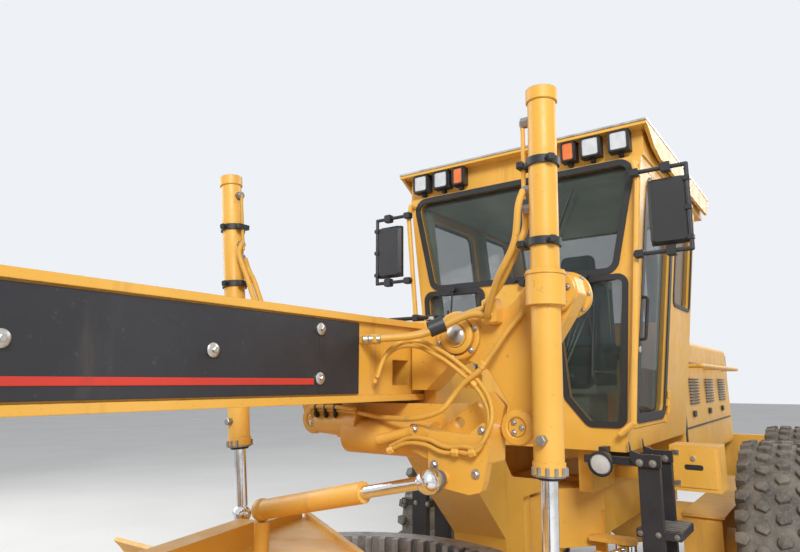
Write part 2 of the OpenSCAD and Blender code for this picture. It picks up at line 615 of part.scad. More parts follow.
// Front axle; the lean cylinder runs from a to b
lean_a = [front_axle_x + 78, -250, 930];
lean_b = [front_axle_x + 78, -lean_y, lean_z + lean_top - 6];
lean_dir = (lean_b - lean_a) / norm(lean_b - lean_a);
module front_axle() color(yellow) {
  difference() {
    union() {
      cross_plate([[-700, lean_z - 60], [-250, 700], [250, 700], [700, lean_z - 60], [740, lean_z + 60], [250, 890], [-250, 890], [-740, lean_z + 60]],
                  front_axle_x - axle_hx, front_axle_x + axle_hx);
      both_sides() for (x = [front_axle_x - axle_hx, front_axle_x + axle_hx - 40]) {
        translate([0, lean_y, lean_z]) x_cyl(x, x + 40, 120);
        block([x, 640, lean_z - 60], [x + 40, lean_y, lean_z + 60]);
      }
      translate([0, 0, pivot_z]) x_cyl(front_axle_x - leg_gap - leg_t, front_axle_x + leg_gap + leg_t, pivot_d);
      // Steering cylinders in front, lean cylinder on the right
      both_sides() {
        block([front_axle_x + axle_hx - 5, 200, 620], [front_axle_x + 210, 260, 700]);
        bar([front_axle_x + 165, 220, 655], [front_axle_x + 165, 560, 655], 80);
      }
      block([front_axle_x + 50, -260, 880], [front_axle_x + 105, -200, 960]);
      bar(lean_a, lean_a + 270 * lean_dir, 66);
    }
    both_sides() {
      translate([0, lean_y, lean_z]) x_cyl(front_axle_x - 200, front_axle_x + 200, 60 + 2 * run_fit);
      block([front_axle_x - axle_hx + 40, 700, lean_z - 100], [front_axle_x + axle_hx - 40, 900, lean_z + 100]);
      bar([front_axle_x + 165, 270, 655], [front_axle_x + 165, 600, 655], 40 + 2 * run_fit);
    }
    bar(lean_a + 50 * lean_dir, lean_a + 380 * lean_dir, 36 + 2 * run_fit);
  }
}
module lean_support() {
  x0 = front_axle_x - axle_hx + 46;
  x1 = front_axle_x + axle_hx - 46;
  union() {
    translate([0, lean_y, lean_z]) x_cyl(x0, x1, 120);
    translate([0, lean_y, lean_z]) x_cyl(front_axle_x - axle_hx, front_axle_x + axle_hx, 60);
    cross_plate([[lean_y - 40, lean_z], [lean_y - 35, lean_z + lean_top], [lean_y + 35, lean_z + lean_top], [lean_y + 50, lean_z]], x0, x0 + 34);
    translate([0, lean_y, lean_z + lean_top]) {
      x_cyl(x0, x0 + 34, 84);
      x_cyl(x0 + 33, front_axle_x + 30, 44);
    }
    difference() {
      union() {
        translate([front_axle_x, king_y, axle_z - 145]) cylinder(d = 100, h = 260);
        block([front_axle_x - 40, lean_y, axle_z - 100], [front_axle_x + 40, king_y, axle_z + 60]);
      }
      translate([front_axle_x, king_y, axle_z - 300]) cylinder(d = king_d + 2 * run_fit, h = 600);
    }
  }
}
module lean_support_left() color(yellow) lean_support();
module lean_support_right() color(yellow) mirror([0, 1, 0]) lean_support();
module lean_bar() color(yellow) {
  z = lean_z + lean_top;
  difference() {
    union() {
      bar([front_axle_x, -lean_y, z], [front_axle_x, lean_y, z], 56);
      both_sides() translate([0, lean_y, z]) x_cyl(front_axle_x - 24, front_axle_x + 24, 84);
    }
    both_sides() translate([0, lean_y, z]) x_cyl(front_axle_x - 60, front_axle_x + 60, 44 + 2 * run_fit);
  }
}
module lean_rod() color(steel) {
  bar(lean_a + 180 * lean_dir, lean_b - 30 * lean_dir, 36);
  translate([0, lean_b.y, lean_b.z]) x_cyl(front_axle_x + 58, front_axle_x + 98, 84);
}
module knuckle() {
  for (z = [axle_z - 180, axle_z + 120]) {
    translate([front_axle_x, king_y, z]) cylinder(d = 110, h = 30);
    block([front_axle_x - 55, king_y, z], [front_axle_x + 55, 990, z + 30]);
  }
  translate([front_axle_x, king_y, axle_z - 170]) cylinder(d = king_d, h = 310);
  block([front_axle_x - 80, 962, axle_z - 180], [front_axle_x + 80, 1000, axle_z + 150]);
  translate([front_axle_x, 0, axle_z]) {
    y_cyl(999, 1060, 240);
    y_cyl(1059, hub_out - 1, 120 - 2 * run_fit);
  }
  // Steering arms, angled inwards to the tie rod behind and the cylinder in front
  for (e = [arm_front, arm_back]) {
    flat_plate([[front_axle_x - 40, king_y + 10], [front_axle_x + 40, king_y + 10], [e.x + 28, e.y], [e.x - 28, e.y]],
               axle_z - 180, axle_z - 151);
    translate([e.x, e.y, axle_z - 180]) cylinder(d = 70, h = 29);
  }
  translate([arm_back.x, arm_back.y, tie_top + pin_up]) cylinder(d = 24, h = axle_z - 175 - tie_top - pin_up);
}
module knuckle_left() color(yellow) knuckle();
module knuckle_right() color(yellow) mirror([0, 1, 0]) knuckle();
module tie_rod() color(yellow) {
  z = tie_top - 25;
  bar([arm_back.x, -arm_back.y, z], [arm_back.x, arm_back.y, z], 44);
  both_sides() translate([arm_back.x, arm_back.y, z - 25]) cylinder(d = 70, h = 50);
}
module steer_rod() {
  bar([front_axle_x + 165, 420, 655], [front_axle_x + 165, lean_y, 655], 40);
  translate([front_axle_x + 165, lean_y, 655 - 8]) cylinder(d = 70, h = 44);
}
module steer_rod_left() color(steel) steer_rod();
module steer_rod_right() color(steel) mirror([0, 1, 0]) steer_rod();

// Drawbar: the ball's cross, the A-frame, the circle and the blade
module drawbar_ball() color(grey) {
  translate([ball_x, 0, ball_z]) {
    sphere(d = ball_d);
    translate([0, 0, -138]) cylinder(d = 60, h = 276);
    rotate([0, 0, drawbar_yaw]) y_cyl(-115, 115, 64);
  }
}
leg_a = 14;
leg_l = 2150;
leg_rise = 1180;
module on_drawbar() translate([ball_x, 0, 0]) rotate([0, 0, drawbar_yaw]) translate([-ball_x, 0, 0]) children();
// Left edge of the yoke plate in plan, from its middle in front round the wing to its middle behind
wing_front = [1400, 640];
wing_tip = [633, 838];
wing_back = [584, 800];
wing_heel = [1010, 72];
wings = [[1950, 0], [1950, 300], [1850, 520], wing_front, wing_tip, wing_back, wing_heel, [1010, 0]];
shoe_a = [35, 122];
// Upright plate between two points in plan, its outer face a little outside the line between them
module wall(a, b, t, z0, z1) {
  v = b - a;
  translate([a.x, a.y, z0]) rotate([0, 0, atan2(v.y, v.x)]) translate([0, -3, 0]) cube([norm(v) - 4, t, z1 - z0]);
}
module drawbar() color(yellow) on_drawbar() {
  difference() {
    union() {
      both_sides() {
        translate([ball_x, 0, ball_z]) y_cyl(75, 112, 120);
        // Fork ear, then the side beam out to the yoke
        side_plate([[ball_x, ball_z - 58], [ball_x, ball_z + 58], [ball_x - 290, ball_z + 100], [ball_x - 290, ball_z - 40]], 75, 112);
        translate([ball_x - 240, 60, 0]) rotate([0, 0, -leg_a]) mirror([1, 0, 0])
          side_plate([[0, ball_z - 40], [0, ball_z + 95], [leg_rise - 60, ring_top_z + 130], [leg_l, ring_top_z + 130],
                      [leg_l, ring_top_z + 15], [leg_rise, ring_top_z + 15]], 0, 100);
        // Stand of the lift ball, on an arm of the yoke
        block([lift_x - 70, 640, ring_top_z + 12], [lift_x + 70, ball_half + 56, ring_top_z + 60]);
        translate([lift_x, ball_half, ring_top_z + 50]) cylinder(d = 64, h = lift_ball_z - ring_top_z - 50 - 54);
        // Upright flanges along the yoke's edges
        wall(wing_front, wing_tip, 40, ring_top_z + 10, ring_top_z + 76);
        wall(wing_back, wing_heel, 26, ring_top_z + 10, ring_top_z + 56);
        // Shoes that hold the circle's rim
        for (a = shoe_a) translate([ball_x - circle_reach, 0, 0]) rotate([0, 0, a]) {
          block([circle_d / 2 + 0.8, -55, ring_top_z - 60], [circle_d / 2 + 62, 55, ring_top_z + 25]);
          block([circle_d / 2 - 42, -55, ring_top_z - 60], [circle_d / 2 + 1, 55, ring_top_z - ring_t / 2 - 0.8]);
        }
      }
      block([ball_x - 330, -100, ball_z - 30], [ball_x - 180, 100, ball_z + 90]);
      // Yoke plate over the circle, open behind, with a wing on each side
      flat_plate(concat(wings, [for (i = [len(wings) - 1 : -1 : 0]) [wings[i].x, -wings[i].y]]), ring_top_z + 12, ring_top_z + 32);
      // Stud under the ball of the centre-shift cylinder
      translate([shift_l.x, shift_l.y, ring_top_z + 30]) cylinder(d = 64, h = shift_l.z - ring_top_z - 30 - 46.3);
      // Housing of the circle's drive
      translate([ball_x - circle_reach + 535, 0, ring_top_z - 60]) cylinder(d = 200, h = 190);
    }
    translate([ball_x, 0, ball_z]) y_cyl(-200, 200, 64 + 2 * run_fit);
    translate([0, shift_l.y, shift_l.z]) x_cyl(shift_l.x - 70, shift_l.x + 70, 40 + 2 * run_fit);
  }
}
module circle_gear() color(grey) translate([circle_x, circle_y, 0]) {
  r = circle_d / 2;
  translate([0, 0, ring_top_z - ring_t]) difference() {
    union() {
      cylinder(r = r - 56, h = ring_t, $fn = 96);
      translate([0, 0, ring_t / 2]) cylinder(r = r, h = ring_t / 2, $fn = 96);
    }
    // Gaps between the inward teeth
    linear_extrude(3 * ring_t, center = true) {
      circle(r = r - tooth_root - tooth_h, $fn = 96);
      for (i = [0 : circle_teeth - 1]) rotate(i * 360 / circle_teeth)
        polygon([[r - tooth_root - tooth_h - 20, -16], [r - tooth_root, -22], [r - tooth_root, 22], [r - tooth_root - tooth_h - 20, 16]]);
    }
  }
  // Hangers that carry the blade
  both_sides() difference() {
    union() {
      side_plate([[-720, ring_top_z - ring_t + 1], [-720, tip_z - 40], [-690, tip_z - 60], [-610, tip_z - 60], [-575, tip_z - 20],
                  [-590, tip_z + 90], [-600, 850], [-560, 985], [420, 1010], [560, ring_top_z - ring_t + 1]], 480, 520);
      translate([tip_x - circle_x, 0, tip_z]) y_cyl(480, 560, 96);
    }
    translate([tip_x - circle_x, 0, tip_z]) y_cyl(470, 570, tip_pin + 2 * run_fit);
  }
  // Bracket of the tip cylinder, with its pin
  difference() {
    side_plate([[-800, tip_a.z - 50], [-690, tip_a.z - 50], [-600, ring_top_z - ring_t + 1], [-770, ring_top_z - ring_t + 1]], -65, 65);
    block([-900, -45.3, 900], [-660, 45.3, ring_top_z - ring_t - 5]);
  }
  translate([tip_a.x - circle_x, 0, tip_a.z]) y_cyl(-46, 46, 40);
}
// Blade: an arc from the cutting edge to the top, seen from the side, with two rails on its back
blade_r = 413;
blade_c = [circle_x - 110, blade_gap + blade_h / 2 + 10];
blade_a = asin((blade_h / 2 - 10) / (blade_r + blade_t));
edge_a = 30;
rail_d = 40;
rail_a = 19.4;
rail_at = [for (s = [-1, 1]) blade_c + (blade_r + blade_t + 14) * [-cos(rail_a), s * sin(rail_a)]];
module blade_carrier() color(yellow) {
  difference() {
    union() {
      translate([tip_x, circle_y, tip_z]) {
        y_cyl(-474, 474, 90);
        y_cyl(-560, 560, tip_pin);
        both_sides() {
          y_cyl(400, 474, 120);
          side_plate([[-50, 0], [40, -60], [110, -60], [110, 330], [40, 330], [-20, 180]], 400, 474);
          side_plate([[-190, 20], [40, -40], [40, 40], [-120, 100], [-190, 100]], 46, 66);
        }
      }
    }
    translate([blade_c.x, 0, blade_c.y]) y_cyl(-900, 900, 2 * (blade_r + blade_t + 0.3));
    for (p = rail_at) translate([p.x, 0, p.y]) y_cyl(-900, 900, rail_d + 0.6);
  }
}
module moldboard() color(yellow) {
  outer = arc_pts(blade_c, blade_r + blade_t, 180 - blade_a, 180 + blade_a, 12);
  inner = arc_pts(blade_c, blade_r, 180 + blade_a, 180 - blade_a, 12);
  side_plate(concat(outer, inner), -blade_l / 2, blade_l / 2);
  for (p = rail_at) translate([p.x, 0, p.y]) y_cyl(-1300, 1300, rail_d);
  // Cutting edge on the front of the blade, down to its tip
  back = arc_pts(blade_c, blade_r, 180 + edge_a, 180 + blade_a, 5);
  drop = (back[5].y - blade_gap) / cos(blade_a);
  tip = back[5] + drop * [sin(blade_a), -cos(blade_a)];
  side_plate(concat(back, [tip, tip + [34, 0], back[0] + edge_t * [cos(edge_a), sin(edge_a)]]), -blade_l / 2, blade_l / 2);
}
edge_t = 19;
tip_a = [circle_x - 740, circle_y, 1015];
tip_b = [tip_x - 150, circle_y, tip_z + 60];
tip_dir = (tip_b - tip_a) / norm(tip_b - tip_a);
module tip_tube() color(yellow) difference() {
  union() {
    bar(tip_a, tip_a + 290 * tip_dir, 80);
    translate([tip_a.x, circle_y, tip_a.z]) y_cyl(-45, 45, 84);
  }
  translate([tip_a.x, circle_y, tip_a.z]) y_cyl(-60, 60, 40 + 2 * run_fit);
  bar(tip_a + 60 * tip_dir, tip_a + 300 * tip_dir, 40 + 2 * run_fit);
}
module tip_rod() color(steel) {
  bar(tip_a + 150 * tip_dir, tip_b, 40);
  translate([tip_b.x, circle_y, tip_b.z]) y_cyl(-45, 45, 70);
}

// Lift cylinders: each leans from its trunnion to its ball on the drawbar
function turned(p) = [ball_x + (p.x - ball_x) * cos(drawbar_yaw) - p.y * sin(drawbar_yaw),
                      (p.x - ball_x) * sin(drawbar_yaw) + p.y * cos(drawbar_yaw), p.z];
function lift_ball(s) = turned([lift_x, s * ball_half, lift_ball_z]);
function trunnion(s) = [lift_x, s * trunnion_y, trunnion_z];
lift_above = 718;
function lift_dir(s) = (lift_ball(s) - trunnion(s)) / norm(lift_ball(s) - trunnion(s));
module lift_tube(s) {
  d = lift_dir(s);
  top = trunnion(s) - lift_above * d;
  difference() {
    union() {
      bar(top, top + lift_tube_l * d, lift_tube_d);
      bar(trunnion(s) - 60 * d, trunnion(s) + 60 * d, lift_tube_d + 34);
      bar(top + (lift_tube_l - 40) * d, top + lift_tube_l * d, lift_tube_d + 8);
      translate([0, s * trunnion_y, trunnion_z]) x_cyl(lift_x - 175, lift_x, 50);
    }
    bar(top + 60 * d, top + (lift_tube_l + 10) * d, lift_rod_d + 2 * run_fit);
  }
}
module lift_rod(s) {
  d = lift_dir(s);
  b = lift_ball(s);
  bar(b - 1150 * d, b, lift_rod_d);
  translate(b) sphere(d = 86);
}
module lift_tube_left() color(yellow) lift_tube(1);
module lift_tube_right() color(yellow) lift_tube(-1);
module lift_rod_left() color(steel) lift_rod(1);
module lift_rod_right() color(steel) lift_rod(-1);

// Centre-shift cylinder, from the drawbar's right side to the saddle's ear
shift_l = [1195, -470, 1349];
shift_a = turned(shift_l);
shift_b = [1195, 400, 1537];
shift_dir = (shift_b - shift_a) / norm(shift_b - shift_a);
module shift_tube() color(yellow) difference() {
  union() {
    bar(shift_a, shift_a + 560 * shift_dir, 80);
    translate(shift_a) sphere(d = 92);
  }
  bar(shift_a + 60 * shift_dir, shift_a + 600 * shift_dir, 46 + 2 * run_fit);
}
module shift_rod() color(steel) {
  bar(shift_a + 275 * shift_dir, shift_b, 46);
  translate(shift_b) sphere(d = 90);
}

main_frame();
beam_covers();
push_block();
lift_saddle();
beam_hoses();
rear_chassis();
hood();
radiator_grille();
exhaust_stack();
engine_block();
toolbox();
handrails();
steps();
cab_shell();
cab_roof();
cab_glass();
operator_station();
lamps();
grab_tubes();
mirrors();
door_left();
door_right();
artic_tube_left();
artic_tube_right();
artic_rod_left();
artic_rod_right();
tandem_left();
tandem_right();
wheel_front_left();
wheel_front_right();
wheel_mid_left();
wheel_mid_right();
wheel_rear_left();
wheel_rear_right();
front_axle();
lean_support_left();
lean_support_right();
lean_bar();
lean_rod();
knuckle_left();
knuckle_right();
tie_rod();
steer_rod_left();
steer_rod_right();
drawbar_ball();
drawbar();
circle_gear();  // circle
blade_carrier();
moldboard();
tip_tube();
tip_rod();
lift_tube_left();
lift_tube_right();
lift_rod_left();
lift_rod_right();
shift_tube();
shift_rod();
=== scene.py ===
"""Looks of a motor grader: worn paint, treaded tyres, seals, lamps, hoses and bolts on its solid parts."""

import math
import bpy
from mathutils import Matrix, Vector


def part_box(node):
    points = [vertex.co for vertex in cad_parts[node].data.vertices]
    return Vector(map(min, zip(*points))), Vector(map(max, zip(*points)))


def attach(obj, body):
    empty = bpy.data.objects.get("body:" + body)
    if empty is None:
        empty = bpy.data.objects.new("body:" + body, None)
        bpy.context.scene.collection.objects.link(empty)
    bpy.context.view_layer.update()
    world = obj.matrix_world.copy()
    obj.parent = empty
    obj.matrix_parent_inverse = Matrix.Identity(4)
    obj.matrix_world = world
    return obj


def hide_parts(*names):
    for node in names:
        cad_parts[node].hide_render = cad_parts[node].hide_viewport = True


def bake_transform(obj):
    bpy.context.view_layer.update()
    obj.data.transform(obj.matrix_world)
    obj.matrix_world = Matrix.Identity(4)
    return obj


bl_info = {
    "name": "Motor grader dressing",
    "version": (1, 0, 0),
    "blender": (4, 5, 0),
    "location": "View3D > Sidebar > Grader",
    "description": "Adds the paint, tyres, cab trim, hoses and small hardware of a motor grader",
    "category": "Object",
}

import bpy
import numpy as np
from bpy.props import FloatProperty, FloatVectorProperty, IntProperty, PointerProperty

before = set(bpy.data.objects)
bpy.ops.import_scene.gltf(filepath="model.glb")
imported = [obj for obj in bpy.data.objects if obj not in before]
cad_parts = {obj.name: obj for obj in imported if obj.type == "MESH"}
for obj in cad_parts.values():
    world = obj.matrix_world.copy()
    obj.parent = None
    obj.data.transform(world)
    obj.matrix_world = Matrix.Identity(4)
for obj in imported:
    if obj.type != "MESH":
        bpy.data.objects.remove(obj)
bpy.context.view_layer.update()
X, Y, Z = np.eye(3)
ORIGIN = (0.0, 0.0, 0.0)
SIDES = (("left", 1), ("right", -1))
RED = (0.52, 0.035, 0.02)


# Shapes: each returns points and faces; a Builder joins them into one mesh

def unit(v):
    """A vector scaled to length one."""
    v = np.asarray(v, float)
    return v / np.linalg.norm(v)


def axes_for(direction):
    """Three unit vectors, the third along the direction, the second as near to upright as it can be."""
    w = unit(direction)
    u = np.cross(Z, w)
    if np.linalg.norm(u) < 1e-4:
        u = np.cross(Y, w)
    u = unit(u)
    return np.array([u, np.cross(w, u), w])


def grid_faces(rows, cols):
    """Quads between rows of points, each row joined to a ring."""
    i = np.arange(rows - 1)[:, None]
    j = np.arange(cols)[None, :]
    k = (j + 1) % cols
    quads = np.stack([i * cols + j, i * cols + k, (i + 1) * cols + k, (i + 1) * cols + j], -1)
    return quads.reshape(-1, 4).tolist()


def stack(rings, close_ends=True):
    """Rings of equal length, joined in order; each end is closed by one face."""
    rings = np.asarray(rings, float)
    rows, cols = rings.shape[:2]
    faces = grid_faces(rows, cols)
    if close_ends:
        faces.append(list(range(cols))[::-1])
        faces.append([(rows - 1) * cols + j for j in range(cols)])
    return rings.reshape(-1, 3), faces


def unit_rows(rows):
    """Each row scaled to length one."""
    return rows / np.maximum(np.linalg.norm(rows, axis=1), 1e-9)[:, None]


def inset(outline, d):
    """A flat outline moved inwards by d along the mean of its two edge normals."""
    p = np.asarray(outline, float)
    before, after = p - np.roll(p, 1, 0), np.roll(p, -1, 0) - p
    n1, n2 = (unit_rows(np.stack([e[:, 1], -e[:, 0]], 1)) for e in (before, after))
    m = unit_rows(n1 + n2)
    c = np.maximum((m * n1).sum(1), 0.35)
    return p - m * (d / c)[:, None]


def oblong(x0, y0, x1, y1):
    """The four corners of a rectangle."""
    return [(x0, y0), (x1, y0), (x1, y1), (x0, y1)]


def lifted(pairs, origin, across, up):
    """Flat outlines set in the plane of across and up, each at its own height along the plane's normal."""
    u, v = np.asarray(across, float), np.asarray(up, float)
    w = np.cross(u, v)
    return [np.asarray(origin) + q[:, :1] * u + q[:, 1:2] * v + h * w for q, h in pairs]


def slab(outline, depth, origin, across, up, bevel=0.003):
    """An outline in the plane of across and up, carried along its normal by depth, both edges bevelled."""
    p = np.asarray(outline, float)
    area = np.sum(p[:, 0] * np.roll(p[:, 1], -1) - np.roll(p[:, 0], -1) * p[:, 1])
    if area < 0:
        p = p[::-1]
    b = min(bevel, abs(depth) * 0.45)
    small = inset(p, b)
    return stack(lifted(((small, 0), (p, b), (p, depth - b), (small, depth)), origin, across, up))


def brick(low, high, bevel=0.004):
    """A box between two corners with bevelled edges."""
    low, high = np.asarray(low, float), np.asarray(high, float)
    s = high - low
    return slab(oblong(0, 0, s[0], s[1]), s[2], low, X, Y, bevel)


def lathe(profile, origin, axis, n=48, closed=True):
    """A profile of (radius, height) turned round an axis; closed joins its last point to its first."""
    prof = np.asarray(profile, float)
    u, v, w = axes_for(axis)
    t = np.linspace(0, 2 * math.pi, n, endpoint=False)
    ring = np.cos(t)[:, None] * u + np.sin(t)[:, None] * v
    rings = np.asarray(origin) + prof[:, None, :1] * ring[None] + prof[:, None, 1:] * w
    pts, faces = stack(rings, not closed)
    if closed:
        last = (len(prof) - 1) * n
        faces += [[last + j, last + (j + 1) % n, (j + 1) % n, j] for j in range(n)]
    return pts, faces


def drum(a, b, r, n=40, bevel=0.003):
    """A round bar from a to b with bevelled ends."""
    a, b = np.asarray(a, float), np.asarray(b, float)
    h = np.linalg.norm(b - a)
    c = min(bevel, r * 0.4, h * 0.4)
    return lathe([(r - c, 0), (r, c), (r, h - c), (r - c, h)], a, b - a, n, False)


def smooth_path(points, n):
    """n points on the Catmull-Rom curve through the given points, evenly spread along its length."""
    p = np.asarray(points, float)
    p = np.vstack([2 * p[0] - p[1], p, 2 * p[-1] - p[-2]])
    t = np.linspace(0, 1, 24, endpoint=False)[:, None]
    out = []
    for a, b, c, d in zip(p[:-3], p[1:-2], p[2:-1], p[3:]):
        square, cube = 2 * a - 5 * b + 4 * c - d, 3 * b - a - 3 * c + d
        out.append(0.5 * (2 * b + (c - a) * t + square * t ** 2 + cube * t ** 3))
    q = np.vstack(out + [p[-2:-1]])
    s = np.concatenate([[0], np.cumsum(np.linalg.norm(np.diff(q, axis=0), axis=1))])
    e = np.linspace(0, s[-1], n)
    return np.stack([np.interp(e, s, q[:, k]) for k in range(3)], 1)


def tube(path, radius, n=12):
    """A circle carried along a path; its frame turns as little as it can from point to point."""
    p = np.asarray(path, float)
    tang = unit_rows(np.gradient(p, axis=0))
    u = axes_for(tang[0])[0]
    a = np.linspace(0, 2 * math.pi, n, endpoint=False)
    rings = []
    for k, w in enumerate(tang):
        u = unit(u - w * (u @ w))
        v = np.cross(w, u)
        rings.append(p[k] + radius * (np.cos(a)[:, None] * u + np.sin(a)[:, None] * v))
    return stack(rings)


def hose(points, radius, n=40, sides=12):
    """A smooth tube through a few points."""
    return tube(smooth_path(points, n), radius, sides)


def bent_tube(points, radius, bend=0.05, sides=12):
    """A tube with straight runs and round corners: each corner becomes an arc of about the given radius."""
    p = [np.asarray(q, float) for q in points]
    out = [p[0]]
    for a, b, c in zip(p[:-2], p[1:-1], p[2:]):
        u, v = a - b, c - b
        d = min(bend, np.linalg.norm(u) * 0.45, np.linalg.norm(v) * 0.45)
        s, e = b + unit(u) * d, b + unit(v) * d
        for t in np.linspace(0, 1, 7):
            out.append((1 - t) ** 2 * s + 2 * t * (1 - t) * b + t ** 2 * e)
    out.append(p[-1])
    return tube(out, radius, sides)


def bolt(at, normal, r=0.012, washer=True):
    """A six-sided head with a small dome, on a round washer."""
    head = np.array([(0.97, 0.2), (1.0, 0.3), (1.0, 0.9), (0.82, 1.05)])
    pts, faces = lathe(head * r, at, normal, 6, False)
    if washer:
        ring = np.array([(1.5, 0.0), (1.6, 0.1), (1.6, 0.22), (1.4, 0.26)])
        q, g = lathe(ring * r, at, normal, 16, False)
        faces = faces + [[i + len(pts) for i in f] for f in g]
        pts = np.vstack([pts, q])
    return pts, faces


def mirrored(shape):
    """The same shape on the other side of the centre plane, its faces turned to point outwards again."""
    pts, faces = shape
    return np.asarray(pts) * (1, -1, 1), [f[::-1] for f in faces]


def rounded(points, r, n=5):
    """A flat outline with each corner turned into an arc."""
    p = np.asarray(points, float)
    out = []
    for a, b, c in zip(np.roll(p, 1, 0), p, np.roll(p, -1, 0)):
        u, v = unit(a - b), unit(c - b)
        half = math.acos(np.clip(u @ v, -1, 1)) / 2
        d = min(r / math.tan(half), np.linalg.norm(a - b) * 0.49, np.linalg.norm(c - b) * 0.49)
        k = d * math.tan(half)
        mid = b + unit(u + v) * k / math.sin(half)
        s, e = b + u * d - mid, b + v * d - mid
        a0 = math.atan2(s[1], s[0])
        turn = (math.atan2(e[1], e[0]) - a0 + math.pi) % (2 * math.pi) - math.pi
        t = a0 + turn * np.linspace(0, 1, n + 1)
        out.append(mid + k * np.stack([np.cos(t), np.sin(t)], 1))
    return np.vstack(out)


def band(outer, inner, depth, origin, across, up):
    """A flat frame between two outlines of equal count, carried along the normal by depth."""
    o, i = np.asarray(outer, float), np.asarray(inner, float)
    pts, faces = stack(lifted(((i, 0), (o, 0), (o, depth), (i, depth)), origin, across, up), False)
    n = len(o)
    faces += [[3 * n + j, 3 * n + (j + 1) % n, (j + 1) % n, j] for j in range(n)]
    return pts, faces


def new_object(name, data):
    """An object in the scene."""
    ob = bpy.data.objects.new(name, data)
    bpy.context.scene.collection.objects.link(ob)
    return ob


class Builder:
    """Collects shapes and makes one object of them, which rides on a body."""

    def __init__(self, side=1, move=ORIGIN, both=False):
        """A side of -1 mirrors each shape and move shifts it; both keeps each shape with its mirror."""
        self.points, self.faces, self.slots, self.count = [], [], [], 0
        self.side, self.move, self.both = side, move, both

    def add(self, shape, slot=0, both=False):
        """Adds a shape with a material slot, on both sides of the centre plane if asked."""
        shape = shape if self.side > 0 else mirrored(shape)
        for pts, faces in (shape, mirrored(shape)) if both or self.both else (shape,):
            self.points.append(np.asarray(pts, float) + self.move)
            self.faces += [[i + self.count for i in f] for f in faces]
            self.slots += [slot] * len(faces)
            self.count += len(pts)
        return self

    def each(self, shapes, slot=0, both=False):
        """Adds several shapes."""
        for shape in shapes:
            self.add(shape, slot, both)
        return self

    def make(self, name, body, looks, slot, replaces=(), sharp=35):
        """Makes the object, riding on a body if one is named, smooth but for edges past an angle."""
        me = bpy.data.meshes.new(name)
        me.from_pydata(np.vstack(self.points).tolist(), [], self.faces)
        for key in looks.split():
            me.materials.append(FINISH[key])
        me.polygons.foreach_set("material_index", self.slots)
        me.update()
        me.shade_smooth()
        me.set_sharp_from_angle(angle=math.radians(sharp))
        ob = new_object(name, me)
        if body:
            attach(ob, body)
        if replaces:
            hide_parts(*replaces)
        return ob


# Materials

def node(tree, kind, inputs=(), **settings):
    """A node with its settings; each input takes a value or a link from another node's output."""
    made = tree.nodes.new(kind)
    for key, v in settings.items():
        setattr(made, key, v)
    for key, v in dict(inputs).items():
        if isinstance(v, bpy.types.NodeSocket):
            tree.links.new(v, made.inputs[key])
        else:
            made.inputs[key].default_value = v
    return made


class Nodes:
    """A short way to write a material's node tree."""

    def __init__(self, name):
        self.mat = bpy.data.materials.new(name)
        self.mat.use_nodes = True
        self.tree = self.mat.node_tree
        self.tree.nodes.clear()
        self.shader = self.new("ShaderNodeBsdfPrincipled")
        self.new("ShaderNodeOutputMaterial", {0: self.shader.outputs[0]})
        self.place = self.new("ShaderNodeTexCoord").outputs["Object"]

    def new(self, kind, inputs=(), **settings):
        return node(self.tree, kind, inputs, **settings)

    def set(self, **values):
        """Gives the shader's inputs numbers; an underscore stands for a space in an input's name."""
        for key, v in values.items():
            self.shader.inputs[key.replace("_", " ")].default_value = v

    def drive(self, key, source):
        """Links one of the shader's inputs."""
        self.tree.links.new(source, self.shader.inputs[key])

    def noise(self, scale, detail=4.0, rough=0.55, place=None):
        inputs = {"Scale": scale, "Detail": detail, "Roughness": rough, "Vector": place or self.place}
        return self.new("ShaderNodeTexNoise", inputs).outputs["Fac"]

    def stretch(self, scale):
        return self.new("ShaderNodeMapping", {"Scale": scale, "Vector": self.place}).outputs[0]

    def ramp(self, value, low, high, a=0.0, b=1.0):
        inputs = {"Value": value, "From Min": low, "From Max": high, "To Min": a, "To Max": b}
        return self.new("ShaderNodeMapRange", inputs, interpolation_type="SMOOTHSTEP").outputs[0]

    def multiply(self, a, b):
        return self.new("ShaderNodeMath", {0: a, 1: b}, operation="MULTIPLY").outputs[0]

    def mix(self, fac, a, b):
        a, b = ((*v, 1.0) if isinstance(v, tuple) else v for v in (a, b))
        return self.new("ShaderNodeMix", {0: fac, 6: a, 7: b}, data_type="RGBA").outputs[2]

    def upward(self):
        """How far a face looks up, where dust settles."""
        normal = self.new("ShaderNodeNewGeometry").outputs["Normal"]
        return self.ramp(self.new("ShaderNodeSeparateXYZ", {0: normal}).outputs["Z"], 0.35, 0.95)

    def edges(self, radius):
        """A rounded normal, and the worn edges, where it differs from the flat one."""
        soft = self.new("ShaderNodeBevel", {"Radius": radius}, samples=4).outputs[0]
        flat = self.new("ShaderNodeNewGeometry").outputs["Normal"]
        dot = self.new("ShaderNodeVectorMath", {0: soft, 1: flat}, operation="DOT_PRODUCT")
        return soft, self.ramp(dot.outputs["Value"], 0.995, 0.8)

    def bump(self, height, strength, distance, **normal):
        inputs = {"Strength": strength, "Distance": distance, "Height": height, **normal}
        self.drive("Normal", self.new("ShaderNodeBump", inputs).outputs[0])


def times(colour, k):
    """A colour made lighter or darker by a factor, or by one for each channel."""
    return tuple(float(min(1.0, c * f)) for c, f in zip(colour, np.broadcast_to(k, 3)))


